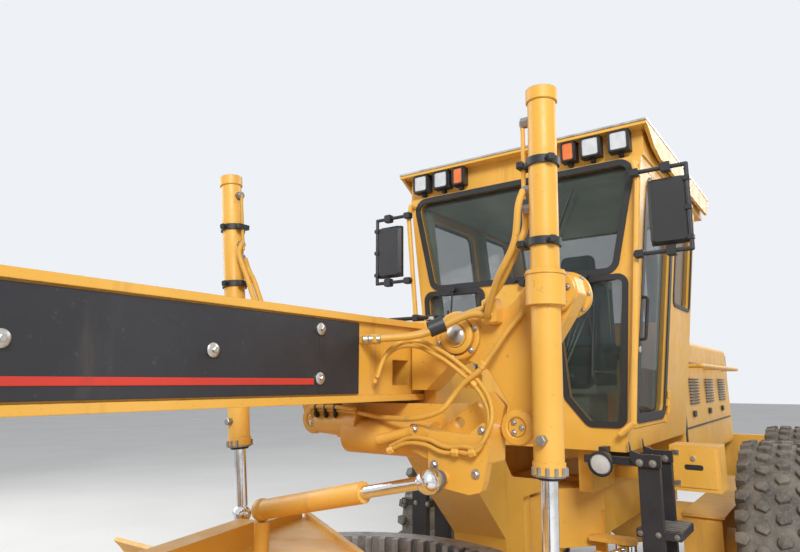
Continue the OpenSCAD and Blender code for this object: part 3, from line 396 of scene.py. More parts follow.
def painted(name, base, faded, dirt, rough, dust, wear, edge=0.004):
    """Sprayed paint: faded in patches, dusty on top, run with grime, chipped to brown along its edges."""
    n = Nodes(name)
    colour = n.mix(n.ramp(n.noise(1.7, 5.0), 0.35, 0.7), base, faded)
    streaks = n.ramp(n.noise(1.0, 6.0, 0.65, n.stretch((9.0, 9.0, 1.2))), 0.56, 0.78, 0.0, 0.4)
    colour = n.mix(streaks, colour, dirt)
    dusty = n.multiply(n.upward(), n.ramp(n.noise(5.0, 6.0, 0.7), 0.3, 0.75, 0.0, dust))
    colour = n.mix(dusty, colour, (0.47, 0.38, 0.25))
    specks = n.ramp(n.noise(55.0, 3.0, 0.6), 0.66, 0.72, 0.0, 0.35)
    colour = n.mix(specks, colour, dirt)
    normal, edges = n.edges(edge)
    chips = n.multiply(edges, n.ramp(n.noise(34.0, 5.0, 0.7), 0.5, 0.62, 0.0, wear))
    n.drive("Base Color", n.mix(chips, colour, (0.16, 0.075, 0.035)))
    n.drive("Roughness", n.ramp(n.noise(7.0, 5.0, 0.6), 0.25, 0.8, rough - 0.08, rough + 0.22))
    n.bump(n.noise(240.0, 2.0), 0.06, 0.002, Normal=normal)
    return n.mat


def metal(name, base, rough, stain, streak=(1.0, 1.0, 1.0), metallic=1.0):
    """Bare metal: brushed or polished, with darker stains."""
    n = Nodes(name)
    n.drive("Base Color", n.mix(n.ramp(n.noise(9.0, 5.0, 0.7), 0.45, 0.75, 0.0, 0.7), base, stain))
    n.set(Metallic=metallic)
    brushed = n.noise(30.0, 4.0, 0.6, n.stretch(streak))
    n.drive("Roughness", n.ramp(brushed, 0.3, 0.75, rough - 0.06, rough + 0.14))
    n.bump(n.noise(120.0, 3.0), 0.08, 0.002)
    return n.mat


def rubbery(name, base, dusty):
    """Rubber greyed by dust, finely pitted."""
    n = Nodes(name)
    colour = n.mix(n.ramp(n.noise(4.0, 6.0, 0.7), 0.3, 0.72, 0.1, 0.75), base, dusty)
    n.drive("Base Color", n.mix(n.ramp(n.noise(60.0, 4.0, 0.65), 0.5, 0.66, 0.0, 0.35), colour, dusty))
    n.set(Roughness=0.78)
    n.bump(n.noise(180.0, 4.0, 0.7), 0.25, 0.002)
    return n.mat


def plain(name, base, rough, grain=200.0, strength=0.08):
    """Moulded plastic or coated sheet: slightly uneven colour and a fine grain."""
    n = Nodes(name)
    patches = n.ramp(n.noise(6.0, 5.0, 0.6), 0.3, 0.7, 0.0, 0.6)
    n.drive("Base Color", n.mix(patches, base, times(base, 0.7)))
    n.set(Roughness=rough)
    n.bump(n.noise(grain, 2.0), strength, 0.001)
    return n.mat


def pane(name, tint, alpha):
    """Flat tinted glass: mostly clear, with a dusty film."""
    n = Nodes(name)
    film = n.ramp(n.noise(2.5, 5.0, 0.6), 0.4, 0.8, 0.0, 0.4)
    n.drive("Base Color", n.mix(film, tint, (0.16, 0.18, 0.17)))
    n.set(Roughness=0.02, Alpha=alpha, IOR=1.5)
    return n.mat


def lens(name, base):
    """Moulded lamp glass: a fine flute pattern over a coloured or silvery body."""
    n = Nodes(name)
    clouds = n.ramp(n.noise(18.0, 3.0), 0.3, 0.8, 0.0, 0.4)
    n.drive("Base Color", n.mix(clouds, base, times(base, 0.55)))
    n.set(Roughness=0.12, Coat_Weight=1.0)
    flutes = n.new("ShaderNodeTexWave", {"Scale": 22.0, "Vector": n.place}, bands_direction="Y")
    n.bump(flutes.outputs["Fac"], 0.25, 0.004)
    return n.mat


FINISH = {}


def finishes(paint):
    """Makes every finish once, from the panel's colours."""
    yellow, black = tuple(paint.yellow), tuple(paint.black)
    FINISH.update(
        yellow=painted("yellow_paint", yellow, times(yellow, (1.08, 1.12, 1.6)), (0.2, 0.1, 0.03),
                       0.4, paint.dust, paint.wear),
        tubes=painted("painted_hose", times(yellow, 0.93), times(yellow, 0.7), (0.12, 0.07, 0.03),
                      0.5, 0.4, 0.7, 0.002),
        black=painted("black_paint", black, times(black, 1.8), (0.1, 0.08, 0.06), 0.45, 0.35, 0.25),
        stripe=painted("red_stripe", RED, times(RED, 1.2), (0.2, 0.03, 0.02), 0.45, 0.2, 0.1),
        steel=metal("worn_steel", (0.36, 0.35, 0.34), 0.5, (0.14, 0.1, 0.07)),
        chrome=metal("chrome_rod", (0.78, 0.79, 0.81), 0.12, (0.45, 0.42, 0.38), (1.0, 1.0, 6.0)),
        iron=metal("cast_iron", (0.2, 0.19, 0.18), 0.62, (0.11, 0.08, 0.06), metallic=0.6),
        bright=metal("zinc_bolt", (0.56, 0.54, 0.5), 0.36, (0.26, 0.22, 0.18)),
        tyre=rubbery("tyre_rubber", (0.055, 0.052, 0.05), (0.3, 0.265, 0.215)),
        seal=plain("window_seal", (0.018, 0.018, 0.02), 0.55),
        plastic=plain("black_plastic", (0.022, 0.022, 0.024), 0.48),
        green=plain("sage_trim", (0.4, 0.46, 0.36), 0.6),
        seat=plain("seat_cloth", (0.05, 0.05, 0.055), 0.85, 400.0, 0.3),
        glass=pane("cab_glass_tint", (0.035, 0.055, 0.055), 0.34),
        mirror=metal("mirror_glass", (0.8, 0.82, 0.84), 0.05, (0.6, 0.6, 0.6)),
        clear=lens("lamp_glass", (0.62, 0.64, 0.66)),
        amber=lens("amber_glass", (0.8, 0.17, 0.01)),
    )


def colour_value(name, tip, default):
    """A colour in the panel."""
    return FloatVectorProperty(name=name, description=tip, subtype="COLOR", size=3, default=default)


def share_value(name, tip, default):
    """A share of one in the panel."""
    return FloatProperty(name=name, description=tip, subtype="FACTOR", default=default, min=0.0, max=1.0)


def length_value(name, tip, default):
    """A length in the panel."""
    return FloatProperty(name=name, description=tip, subtype="DISTANCE", unit="LENGTH", default=default)


class GraderPaint(bpy.types.PropertyGroup):
    yellow: colour_value("Yellow", "Main paint", (0.72, 0.38, 0.05))
    black: colour_value("Black", "Panels, steps and mirrors", (0.016, 0.016, 0.019))
    dust: share_value("Dust", "Dust on faces that look up", 0.45)
    wear: share_value("Wear", "Chipped paint along edges", 0.6)


class GraderSizes(bpy.types.PropertyGroup):
    tread_pitches: IntProperty(name="Tread pitches", description="Blocks round a tyre in each row",
                               default=36, min=24, max=48)
    tread_depth: length_value("Tread depth", "Height of a tread block", 0.028)
    hose_radius: length_value("Hose radius", "Radius of the lift cylinders' hoses", 0.013)
    seal_width: length_value("Seal width", "Width of the rubber round each window", 0.024)


# Which finish each solid part takes; a name that ends in an underscore stands for its left and right piece
LOOKS = {
    "yellow": "main_frame push_block lift_saddle rear_chassis hood toolbox handrails cab_shell cab_roof"
              " grab_tubes artic_tube_ tandem_ front_axle lean_support_ lean_bar knuckle_ tie_rod drawbar"
              " blade_carrier moldboard tip_tube lift_tube_ shift_tube door_",
    "tubes": "beam_hoses",
    "black": "beam_covers radiator_grille exhaust_stack steps lamps mirrors",
    "chrome": "artic_rod_ lean_rod steer_rod_ tip_rod lift_rod_ shift_rod",
    "steel": "circle",
    "iron": "drawbar_ball engine_block",
    "green": "operator_station",
    "glass": "cab_glass",
    "tyre": "wheel_front_ wheel_mid_ wheel_rear_",
}


class GRADER_OT_finish(bpy.types.Operator):
    """Gives every solid part its finish"""
    bl_idname = "grader.finish_parts"
    bl_label = "Finish the solid parts"

    def execute(self, context):
        finishes(context.scene.grader_paint)
        for key, names in LOOKS.items():
            for name in names.split():
                for end in ("left", "right") if name.endswith("_") else ("",):
                    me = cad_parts[name + end].data
                    me.materials.clear()
                    me.materials.append(FINISH[key])
        return {"FINISHED"}


# Wheels

TYRE_R, TYRE_HALF, BEAD_R = 0.745, 0.215, 0.31
WHEEL_X, WHEEL_Y = {"front": 3.77, "mid": -1.852, "rear": -3.508}, 1.195
NUTS, NUT_RING, HUB_FACE = 10, 0.135, 0.077
# The side wall: how far out from the bead, or in from the crown, and how far in from the widest place
WALL_LOW = [(0.0, 0.045), (0.02, 0.022), (0.05, 0.012), (0.06, 0.016), (0.12, 0.002), (0.2, 0.0),
            (0.205, 0.0), (0.28, 0.004)]
WALL_HIGH = [(0.095, 0.008), (0.045, 0.022), (0.014, 0.055), (0.0, 0.095)]
# Tread blocks on one half: outline in (across the tyre, along it), for the middle and for the shoulder
MIDDLE = [(0.01, -0.02), (0.034, -0.049), (0.088, -0.03), (0.098, 0.0), (0.072, 0.034), (0.018, 0.022)]
SHOULDER = [(0.112, -0.014), (0.138, -0.052), (0.196, -0.038), (0.196, 0.022), (0.15, 0.03), (0.116, 0.018)]
# Where the crown starts to fall towards the shoulder, and how far a block's foot and its top fall there
CROWN, FOOT_FALL, TOP_FALL = (0.12, 0.196), 0.045, 0.016
BLOCK_SUNK, BLOCK_EDGE = 0.012, 0.003
# A rim's profile in (radius, across): flange, gutter, disc with a hub face, and back along the inside
RIM = [(0.312, 0.205), (0.326, 0.205), (0.326, 0.196), (0.306, 0.19), (0.3, 0.16), (0.285, 0.15),
       (0.28, 0.02), (0.262, 0.0), (0.225, 0.015), (0.2, 0.06), (0.165, 0.065), (0.158, 0.075),
       (0.11, 0.078), (0.11, 0.06), (0.105, 0.0), (0.24, -0.02), (0.268, -0.03), (0.285, -0.15), (0.3, -0.17),
       (0.306, -0.19), (0.326, -0.196), (0.326, -0.205), (0.312, -0.205), (0.309, -0.19), (0.309, 0.19)]


def carcass(r_out):
    """A tyre without its tread: bead, bulged side wall and flat crown, turned round the Y axis."""
    half = TYRE_HALF
    side = [(BEAD_R + r, half - h) for r, h in WALL_LOW] + [(r_out - r, half - h) for r, h in WALL_HIGH]
    back = [(r, -h) for r, h in side[::-1]]
    inner = [(BEAD_R + 0.01, -half + 0.06), (BEAD_R + 0.01, half - 0.06)]
    return lathe(side + [(r_out + 0.003, 0.0)] + back + inner, ORIGIN, Y, 144)


def tread(pitches, depth):
    """Rows of blocks on the crown: each outline laid round the tyre, raised by the tread's depth."""
    pts, faces, count = [], [], 0
    base = TYRE_R - depth
    for side, offset in ((1, 0.0), (-1, 0.5)):
        for shape, shift, taper, spread in ((MIDDLE, 0.0, 0.006, 1.0), (SHOULDER, 0.5, 0.005, 1.04)):
            p = np.array(shape) if side > 0 else (np.array(shape) * (-1, 1))[::-1]
            small = inset(p, taper)
            foot = base - BLOCK_SUNK - np.interp(np.abs(p[:, 0]), CROWN, [0.0, FOOT_FALL])
            lip = np.interp(np.abs(small[:, 0]), CROWN, [0.0, TOP_FALL])
            rings = ((p, foot), (small, TYRE_R - BLOCK_EDGE - lip), (inset(small, 0.004), TYRE_R - lip))
            k = len(p)
            for i in range(pitches):
                a0 = (i + shift + offset) * 2 * math.pi / pitches
                grown = []
                for q, r in rings:
                    a = a0 + q[:, 1] / TYRE_R
                    grown.append(np.stack([r * np.cos(a), q[:, 0] * spread, r * np.sin(a)], 1))
                q, f = stack(grown)
                # The face on the carcass is left out and the top one stays
                f = f[:-2] + [[2 * k + j for j in range(k)]]
                pts.append(q)
                faces += [[v + count for v in g] for g in f]
                count += len(q)
    return np.vstack(pts), faces


class GRADER_OT_wheels(bpy.types.Operator):
    """Adds six tyres with block tread on dished rims"""
    bl_idname = "grader.wheels"
    bl_label = "Wheels"

    def execute(self, context):
        sizes = context.scene.grader_sizes
        ring = carcass(TYRE_R - sizes.tread_depth)
        blocks = tread(sizes.tread_pitches, sizes.tread_depth)
        rim, hub = lathe(RIM, ORIGIN, Y, 64), drum((0, 0.06, 0), (0, 0.15, 0), 0.1, 32, 0.008)
        turns = np.linspace(0, 2 * math.pi, NUTS, endpoint=False)
        nuts = [bolt((NUT_RING * math.cos(a), HUB_FACE, NUT_RING * math.sin(a)), Y, 0.015) for a in turns]
        valve = drum((0.27, 0.13, 0.0), (0.255, 0.19, 0.0), 0.005, 8)
        for where, x in WHEEL_X.items():
            for side, s in SIDES:
                name = f"wheel_{where}_{side}"
                at = (x, s * WHEEL_Y, TYRE_R)
                tyre = Builder(s, at).add(ring).add(blocks)
                tyre.make(name + "_tyre", name, "tyre", "tyre", (name,), 40)
                wheel = Builder(s, at).add(rim).add(hub).each(nuts, 1).add(valve, 1)
                wheel.make(name + "_rim", name, "yellow steel", "yellow_paint")
        return {"FINISHED"}


# Cab: windows, doors, lamps, mirrors and what is seen inside

CAB_FRONT, CAB_BACK, CAB_FLOOR, CAB_LOW = -0.446, -2.0, 1.5, 0.61
LEAN = math.atan(0.18 / 1.65)
WALL_UP = np.array([0.0, math.sin(LEAN), math.cos(LEAN)])
WALL_OUT = np.array([0.0, math.cos(LEAN), -math.sin(LEAN)])
WALL_FOOT = np.array([0.0, CAB_LOW, CAB_FLOOR])
FRONT_AXES = (Y, Z)
WALL_AXES = (-X, WALL_UP)
UPPER = [(-0.6, 2.505), (0.6, 2.505), (0.735, 3.118), (-0.735, 3.118)]
LOWER = [(0.24, 2.455), (0.3, 1.79), (0.42, 1.65), (0.6, 1.65), (0.655, 2.455)]
REAR = [(-0.56, 2.33), (0.56, 2.33), (0.65, 3.09), (-0.65, 3.09)]
SIDE = oblong(1.4, 0.9, 1.93, 1.59)
DOOR_PANE = oblong(0.62, 0.185, 1.27, 1.54)
DOOR_EDGE = oblong(0.564, 0.119, 1.326, 1.5958)
# Corner radii of the upper window and the door's pane, of the lower windows, and of the rear and side ones
ROUND, LOWER_ROUND, REAR_ROUND = 0.06, 0.035, 0.05
DOOR_THICK, PANE_IN, PANE_THICK = 0.05, 0.028, 0.006
HINGES, HINGE_HALF, HINGE_R, HINGE_OUT, HINGE_GAP = (0.245, 1.395), 0.025, 0.012, 0.013, 0.0003
GRIP_X, GRIP_LOW, GRIP_HIGH, GRIP_OUT = -0.6, 0.62, 0.86, 0.035


def seal(outline, r, width, depth, origin, axes, lift=0.0):
    """A flat rubber frame that straddles a window's edge; lift moves it out past the edge."""
    edge = rounded(outline, r, 6)
    return band(inset(edge, -width * 0.5 - lift), inset(edge, width * 0.5 - lift), depth, origin, *axes)


def plate(outline, depth, x, bevel):
    """A plate that faces forwards, its rear face at x."""
    return slab(outline, depth, (x, 0, 0), *FRONT_AXES, bevel)


def ball(at, r):
    """A round knob: half circles turned round the upright axis."""
    t = np.linspace(-math.pi / 2 + 0.12, math.pi / 2 - 0.12, 10)
    return lathe(np.stack([r * np.cos(t), r * np.sin(t)], 1), at, Z, 20, False)


def torus(at, axis, big, small, n=48):
    """A ring: a small circle turned round an axis."""
    t = np.linspace(0, 2 * math.pi, 12, endpoint=False)
    return lathe(np.stack([big + small * np.cos(t), small * np.sin(t)], 1), at, axis, n)


def peg(at, way, low, high, r, n=6):
    """A bar with n sides along a direction, from low to high as measured from a point."""
    return drum(at + low * way, at + high * way, r, n)


def brick_along(a, b, w):
    """A square bar between two points."""
    u, v, n = axes_for(b - a)
    h = w / 2
    return slab(oblong(-h, -h, h, h), np.linalg.norm(b - a), a, u, v, w * 0.15)


def wiper(pivot, tip, blade):
    """A wiper: its arm from a capped pivot to the middle of a thin blade, both just off the front glass."""
    foot, reach = np.array(pivot), unit(blade) * 0.5 * np.linalg.norm(blade)
    p, q = foot + X * 0.03, np.array(tip) + X * 0.02
    return (drum(foot, p + X * 0.012, 0.018, 20), tube([p, (p + q) / 2 + X * 0.01, q], 0.006, 8),
            drum(q - reach, q + reach, 0.008, 8), brick_along(q - reach * 0.7, q + reach * 0.7, 0.012))


def door_frame():
    """A door's skin on the left wall: a frame round the pane, a lip inside it, two barrels at each hinge."""
    edge, hole = rounded(DOOR_EDGE, 0.008, 6), rounded(DOOR_PANE, ROUND, 6)
    lip = inset(hole, -0.045), inset(hole, -0.03)
    shapes = [band(edge, hole, DOOR_THICK, WALL_FOOT - WALL_OUT * DOOR_THICK, *WALL_AXES),
              band(*lip, 0.0025, WALL_FOOT - WALL_OUT * 0.0005, *WALL_AXES)]
    pin = WALL_FOOT - X * (DOOR_EDGE[1][0] + 0.004)
    tall = 2 * HINGE_HALF - HINGE_GAP
    leaf = [(-0.001, 0.0), (HINGE_OUT, 0.0), (HINGE_OUT, 0.024), (-0.001, 0.024)]
    for up in HINGES:
        for low in (up - 3 * HINGE_HALF, up + HINGE_HALF + HINGE_GAP):
            foot = pin + WALL_UP * low + WALL_OUT * HINGE_OUT
            shapes.append(drum(foot, foot + WALL_UP * tall, HINGE_R, 24))
            shapes.append(slab(leaf, tall, pin + X * 0.006 + WALL_UP * low, WALL_OUT, X, 0.001))
    return shapes


class GRADER_OT_windows(bpy.types.Operator):
    """Adds window seals and wipers, and doors with glass, hinges and handles"""
    bl_idname = "grader.windows"
    bl_label = "Windows"

    def execute(self, context):
        w = context.scene.grader_sizes.seal_width
        front, f = (CAB_FRONT - 0.002, 0, 0), CAB_FRONT
        seals = Builder()
        seals.add(seal(UPPER, ROUND, w * 1.5, 0.01, front, FRONT_AXES, w * 0.3))
        seals.add(seal(LOWER, LOWER_ROUND, w * 1.4, 0.01, front, FRONT_AXES, w * 0.3), both=True)
        seals.add(seal(REAR, REAR_ROUND, w, 0.012, (CAB_BACK - 0.01, 0, 0), FRONT_AXES))
        seals.add(seal(SIDE, REAR_ROUND, w, 0.008, WALL_FOOT - WALL_OUT * 0.001, WALL_AXES), both=True)
        seals.each(wiper((f, 0.05, 2.47), (f, 0.3, 2.8), (0.0, 0.18, 0.42)))
        seals.each(wiper((f, 0.44, 2.475), (f, 0.47, 2.12), (0.0, 0.03, 0.44)), both=True)
        washer = [(f, -0.02, 2.48), (f + 0.03, 0.02, 2.5), (f + 0.02, 0.05, 2.48)]
        seals.add(hose(washer, 0.005, 12, 8))
        seals.make("cab_seals", "rear_frame", "seal", "black_paint")
        ring = seal(DOOR_PANE, ROUND, 0.056, 0.006, WALL_FOOT - WALL_OUT * 0.0005, WALL_AXES, 0.014)
        corners = ((GRIP_LOW, 0.0), (GRIP_LOW, GRIP_OUT), (GRIP_HIGH, GRIP_OUT), (GRIP_HIGH, 0.0))
        grip = [WALL_FOOT + X * GRIP_X + WALL_UP * k + WALL_OUT * o for k, o in corners]
        lock = WALL_FOOT + X * (GRIP_X + 0.01) + WALL_UP * (GRIP_LOW - 0.06)
        hole = rounded(DOOR_PANE, ROUND, 6)
        sheet = slab(hole, PANE_THICK, WALL_FOOT - WALL_OUT * PANE_IN, *WALL_AXES, 0.0005)
        for side, s in SIDES:
            door = f"door_{side}"
            fittings = Builder(s).add(ring).add(bent_tube(grip, 0.009, 0.02))
            fittings.add(peg(lock, WALL_OUT, 0.0, 0.012, 0.018, 20), 1)
            fittings.make(f"door_trim_{side}", door, "seal bright", "black_paint")
            Builder(s).each(door_frame()).make(f"door_skin_{side}", door, "yellow", "yellow_paint", (door,))
            Builder(s).add(sheet).make(f"door_glass_{side}", door, "glass", "glass")
        return {"FINISHED"}


LINING_IN, CUSHION, COLUMN_X = 0.06, oblong(-1.58, -0.27, -1.03, 0.27), -0.7
SEAT_BACK = [(-0.26, 1.93), (0.26, 1.93), (0.24, 2.63), (-0.24, 2.63)]
HEAD_REST = [(-0.14, 2.66), (0.14, 2.66), (0.13, 2.84), (-0.13, 2.84)]
DASH = [(-0.21, -0.1), (0.21, -0.1), (0.19, 0.07), (-0.19, 0.07)]
DASH_UP = (0.5, 0, 0.866)


class GRADER_OT_cabin(bpy.types.Operator):
    """Adds the seat's cushions, the console, the steering wheel, levers and pale green linings"""
    bl_idname = "grader.cabin"
    bl_label = "Inside the cab"

    def execute(self, context):
        lining = (CAB_FRONT - LINING_IN, 0, 0)
        linings = Builder()
        linings.add(seal(UPPER, ROUND, 0.05, -0.012, lining, FRONT_AXES, 0.03))
        linings.add(seal(LOWER, LOWER_ROUND, 0.04, -0.012, lining, FRONT_AXES, 0.022), both=True)
        for x in (-0.56, -1.36):
            foot = WALL_FOOT + X * x - WALL_OUT * (LINING_IN + 0.002)
            linings.add(brick_along(foot + WALL_UP * 0.06, foot + WALL_UP * 1.58, 0.055), both=True)
        linings.add(brick((-1.96, -0.7, 3.085), (-0.53, 0.7, 3.105), 0.01))
        linings.make("cab_lining", "rear_frame", "green", "interior")
        seat = Builder().add(slab(rounded(CUSHION, 0.07), 0.17, (0, 0, 1.81), X, Y, 0.05))
        seat.add(plate(rounded(SEAT_BACK, 0.08), 0.15, -1.655, 0.05))
        seat.add(plate(rounded(HEAD_REST, 0.05), 0.1, -1.64, 0.04))
        seat.add(brick((-1.5, 0.3, 2.06), (-1.12, 0.37, 2.12), 0.025), both=True)
        seat.add(drum((-1.6, 0.33, 2.0), (-1.3, 0.33, 2.07), 0.02, 16), both=True)
        seat.make("seat_cushions", "rear_frame", "seat", "interior")
        tilt = unit((-0.309, 0, 0.951))
        rim_at = np.array([COLUMN_X, 0, 1.89]) + tilt * 0.47
        console = Builder().add(torus(rim_at, tilt, 0.19, 0.018))
        console.add(peg(rim_at, tilt, -0.03, 0.02, 0.05, 24))
        console.add(drum((COLUMN_X, 0, 1.9), rim_at - tilt * 0.03, 0.048, 24))
        console.add(slab(rounded(DASH, 0.03), 0.06, (-0.66, 0, 2.02), Y, DASH_UP, 0.01))
        console.add(brick((-0.83, -0.215, 1.86), (-0.575, 0.215, 1.93), 0.02))
        for i in range(4):
            top = np.array([-0.74, 0.215 + 0.045 * i, 2.33])
            foot = np.array([COLUMN_X, 0.15 + 0.004 * i, 1.93])
            console.add(tube([foot, top], 0.008, 8), both=True)
            console.add(ball(top + Z * 0.015, 0.021), both=True)
        boot = [(0.055, 0.0), (0.04, 0.05), (0.03, 0.1)]
        console.add(lathe(boot, (COLUMN_X, 0.156, 1.92), Z, 24, False), both=True)
        console.make("controls", "rear_frame", "plastic", "interior")
        return {"FINISHED"}


# Roof lamps: place across, width and finish slot of each on the left side
LAMPS = ((0.68, 0.12, 1), (0.516, 0.12, 1), (0.381, 0.09, 2))
LAMP_Z, LAMP_HALF, LAMP_EDGE = 3.243, 0.052, 0.012
WORK_LAMP, WORK_AIM, WORK_LONG = (CAB_FRONT + 0.03, 0.505, 1.462), unit((0.985, 0, -0.174)), 0.09
MIRROR_X, MIRROR = CAB_FRONT + 0.078, oblong(0.826, 2.596, 1.03, 2.964)
ROOF_LOW, ROOF_HIGH, ROOF_SIDE = 3.322, 3.336, 0.842


class GRADER_OT_lamps(bpy.types.Operator):
    """Adds lamp glasses with bezels, the work lamps' faces, mirror heads and the roof's bright edge"""
    bl_idname = "grader.lamps"
    bl_label = "Lamps and mirrors"

    def execute(self, context):
        x, z, h = CAB_FRONT + 0.04, LAMP_Z, LAMP_HALF
        lamps = Builder(both=True)
        for y, w, slot in LAMPS:
            half = w / 2 - LAMP_EDGE
            face = rounded(oblong(y - half, z - h, y + half, z + h), LAMP_EDGE)
            lamps.add(plate(face, 0.008, x - 0.001, 0.003), slot)
            lamps.add(band(inset(face, -0.009), face, 0.014, (x - 0.001, 0, 0), *FRONT_AXES))
            lamps.add(brick((x - 0.075, y - 0.012, z - 0.085), (x - 0.03, y + 0.012, z - 0.058), 0.003))
        end = np.array(WORK_LAMP) + WORK_AIM * WORK_LONG
        rim = [(0.058, -0.002), (0.066, -0.002), (0.066, 0.012), (0.058, 0.014)]
        dome = [(0.057, 0.0), (0.05, 0.007), (0.025, 0.011), (0.002, 0.012)]
        lamps.add(lathe(rim, end, WORK_AIM, 40))
        lamps.add(lathe(dome, end, WORK_AIM, 40, False), 1)
        lamps.make("lamp_faces", "rear_frame", "plastic clear amber", "glass")
        head, x = rounded(MIRROR, 0.035), MIRROR_X
        mirrors = Builder(both=True).add(plate(head, 0.052, x - 0.042, 0.018))
        mirrors.add(plate(inset(head, 0.01), 0.004, x - 0.045, 0.001), 1)
        for z in (2.56, 3.02):
            mirrors.add(brick((x - 0.022, 0.905, z - 0.028), (x + 0.022, 0.955, z + 0.028), 0.006))
            mirrors.add(brick((x - 0.024, 0.742, z - 0.022), (x + 0.02, 0.79, z + 0.022), 0.006))
        for z in (2.62, 2.78, 2.94):
            mirrors.add(brick((x - 0.015, 1.012, z - 0.014), (x + 0.017, 1.045, z + 0.014), 0.004))
        mirrors.make("mirror_heads", "rear_frame", "plastic mirror", "black_paint")
        y = ROOF_SIDE
        edge = Builder().add(brick((-0.392, -y, ROOF_LOW), (-0.38, y, ROOF_HIGH), 0.002))
        edge.add(brick((-2.338, y, ROOF_LOW), (-0.382, y + 0.006, ROOF_HIGH), 0.002), both=True)
        edge.make("roof_edge", "rear_frame", "bright", "bare_steel")
        return {"FINISHED"}


# Front frame: beam, saddle and lift cylinders

BEAM_HALF, SADDLE_BOSS, TRUNNION = 0.165, (0.405, 2.05), (0.8, 2.19)
FEET = ((0.647, 1.717), (-0.33, 1.715))
COVER_BOLTS = ((1.495, 2.054), (1.495, 1.887), (1.938, 1.964), (2.483, 1.966), (2.96, 1.966))
COVER_CAP = [(0.021, 0.0), (0.021, 0.006), (0.016, 0.01), (0.002, 0.011)]
# Each lift cylinder's pin on its trunnion and the way it points at rest; top and length are along that way
LIFT = {"left": ((1.07, 0.8, 2.19), (0.01406, -0.01385, -0.99981)),
        "right": ((1.07, -0.8, 2.19), (-0.01327, 0.10015, -0.99488))}
LIFT_TOP, LIFT_LENGTH, LIFT_R = -0.718, 1.33, 0.05
# Profiles in (radius, height) on a lift cylinder, and on the saddle's bosses and feet
COLLAR = [(LIFT_R + 0.001, -0.012), (LIFT_R + 0.006, -0.016), (LIFT_R + 0.006, 0.03), (LIFT_R + 0.001, 0.034)]
TOP_CAP = [(0.002, -0.01), (0.03, -0.01), (LIFT_R - 0.002, -0.002), (LIFT_R - 0.001, 0.002)]
GLAND = [(0.03, 0.0), (LIFT_R + 0.002, 0.0), (LIFT_R + 0.002, -0.04), (LIFT_R, -0.045), (0.03, -0.045)]
ROD_SEAL = [(0.0365, 0.0), (0.042, 0.0), (0.042, 0.008), (0.0365, 0.012)]
BOSS_RING = [(0.072, 0.0), (0.095, 0.0), (0.095, 0.006), (0.089, 0.011), (0.078, 0.011), (0.072, 0.006)]
BOSS_CAP = [(0.044, 0.015), (0.07, 0.015), (0.07, 0.019), (0.064, 0.023), (0.048, 0.023), (0.044, 0.019)]
BOSS_DOME = [(0.04, 0.024), (0.034, 0.031), (0.018, 0.036), (0.002, 0.037)]
FOOT_RING = [(0.034, -0.008), (0.062, -0.008), (0.06, 0.0), (0.04, 0.003), (0.034, 0.0)]
# Lugs that point further inwards than this share are left out, to pass the saddle's block at full side swing
LUGS, LUG_INWARD = 12, 0.85
BLOCK_BOLTS = ((0.262, 1.7), (0.33, 1.668), (0.5, 1.672), (0.548, 1.706))
STRAP_BOLTS = ((0.36, 1.58), (0.53, 1.56))
# Routes of the small hoses: down over the arm and back under the block, from the bundle to the trunnion,
# the bundle beside the beam, and the lines over the beam as (across, up)
BRACKET_HOSE = [(1.21, 0.172, 1.87), (1.18, 0.19, 1.955), (1.13, 0.225, 2.005), (1.08, 0.275, 2.01),
                (1.07, 0.335, 1.985), (1.06, 0.394, 1.952), (1.045, 0.46, 1.9), (1.045, 0.52, 1.845),
                (1.065, 0.565, 1.785), (1.09, 0.583, 1.73), (1.105, 0.573, 1.685), (1.115, 0.556, 1.65),
                (1.117, 0.525, 1.63), (1.115, 0.48, 1.632), (1.11, 0.43, 1.626), (1.11, 0.39, 1.63),
                (1.105, 0.328, 1.648), (1.1, 0.24, 1.648), (1.095, 0.15, 1.612)]
CROSS_HOSE = [(1.01, -0.1, 1.755), (1.05, 0.076, 1.738), (1.1, 0.239, 1.738), (1.1, 0.329, 1.75),
              (1.09, 0.395, 1.777), (1.07, 0.43, 1.824), (1.06, 0.471, 1.872), (1.05, 0.527, 1.915),
              (1.03, 0.573, 1.979), (1.012, 0.625, 2.056), (0.99, 0.68, 2.125)]
BUNDLE = [(0.99, -0.335, 1.725), (1.005, -0.31, 1.752), (1.01, -0.233, 1.757), (1.01, -0.15, 1.756),
          (1.015, -0.06, 1.75)]
OVER_BEAM = [(0.232, 1.9), (0.236, 2.06), (0.225, 2.146), (0.12, 2.152), (-0.12, 2.152), (-0.225, 2.146),
             (-0.236, 2.06)]
# Nuts on the small hoses: middle and direction
HOSE_NUTS = (((1.04, 0.5, 1.868), (0, 0.7, -0.7)), ((1.116, 0.53, 1.634), (0, 1, 0.3)),
             ((1.113, 0.46, 1.63), (0, 1, 0)), ((1.095, 0.165, 1.618), (0, 1, 0.45)),
             ((1.045, 0.54, 1.935), (0, 0.5, 0.8)))


def bolt_circle(at, r, n, size, turn=0.0):
    """Bolts that face forwards, evenly round a circle."""
    u, v = axes_for(X)[:2]
    angles = turn + np.arange(n) * 2 * math.pi / n
    return [bolt(np.asarray(at) + r * (math.cos(a) * u + math.sin(a) * v), X, size) for a in angles]


def clamp(at, axis, r, width):
    """A two-part pipe clamp: a ring with two ears and their bolts."""
    u, v, w = axes_for(axis)
    shapes = [lathe(oblong(r, -width / 2, r + 0.008, width / 2), at, axis, 32)]
    for s in (1, -1):
        c = at + u * s * (r + 0.016)
        shapes.append(brick_along(c - w * width * 0.45, c + w * width * 0.45, 0.022))
        shapes.append(bolt(c + v * 0.011, v, 0.007))
    return shapes


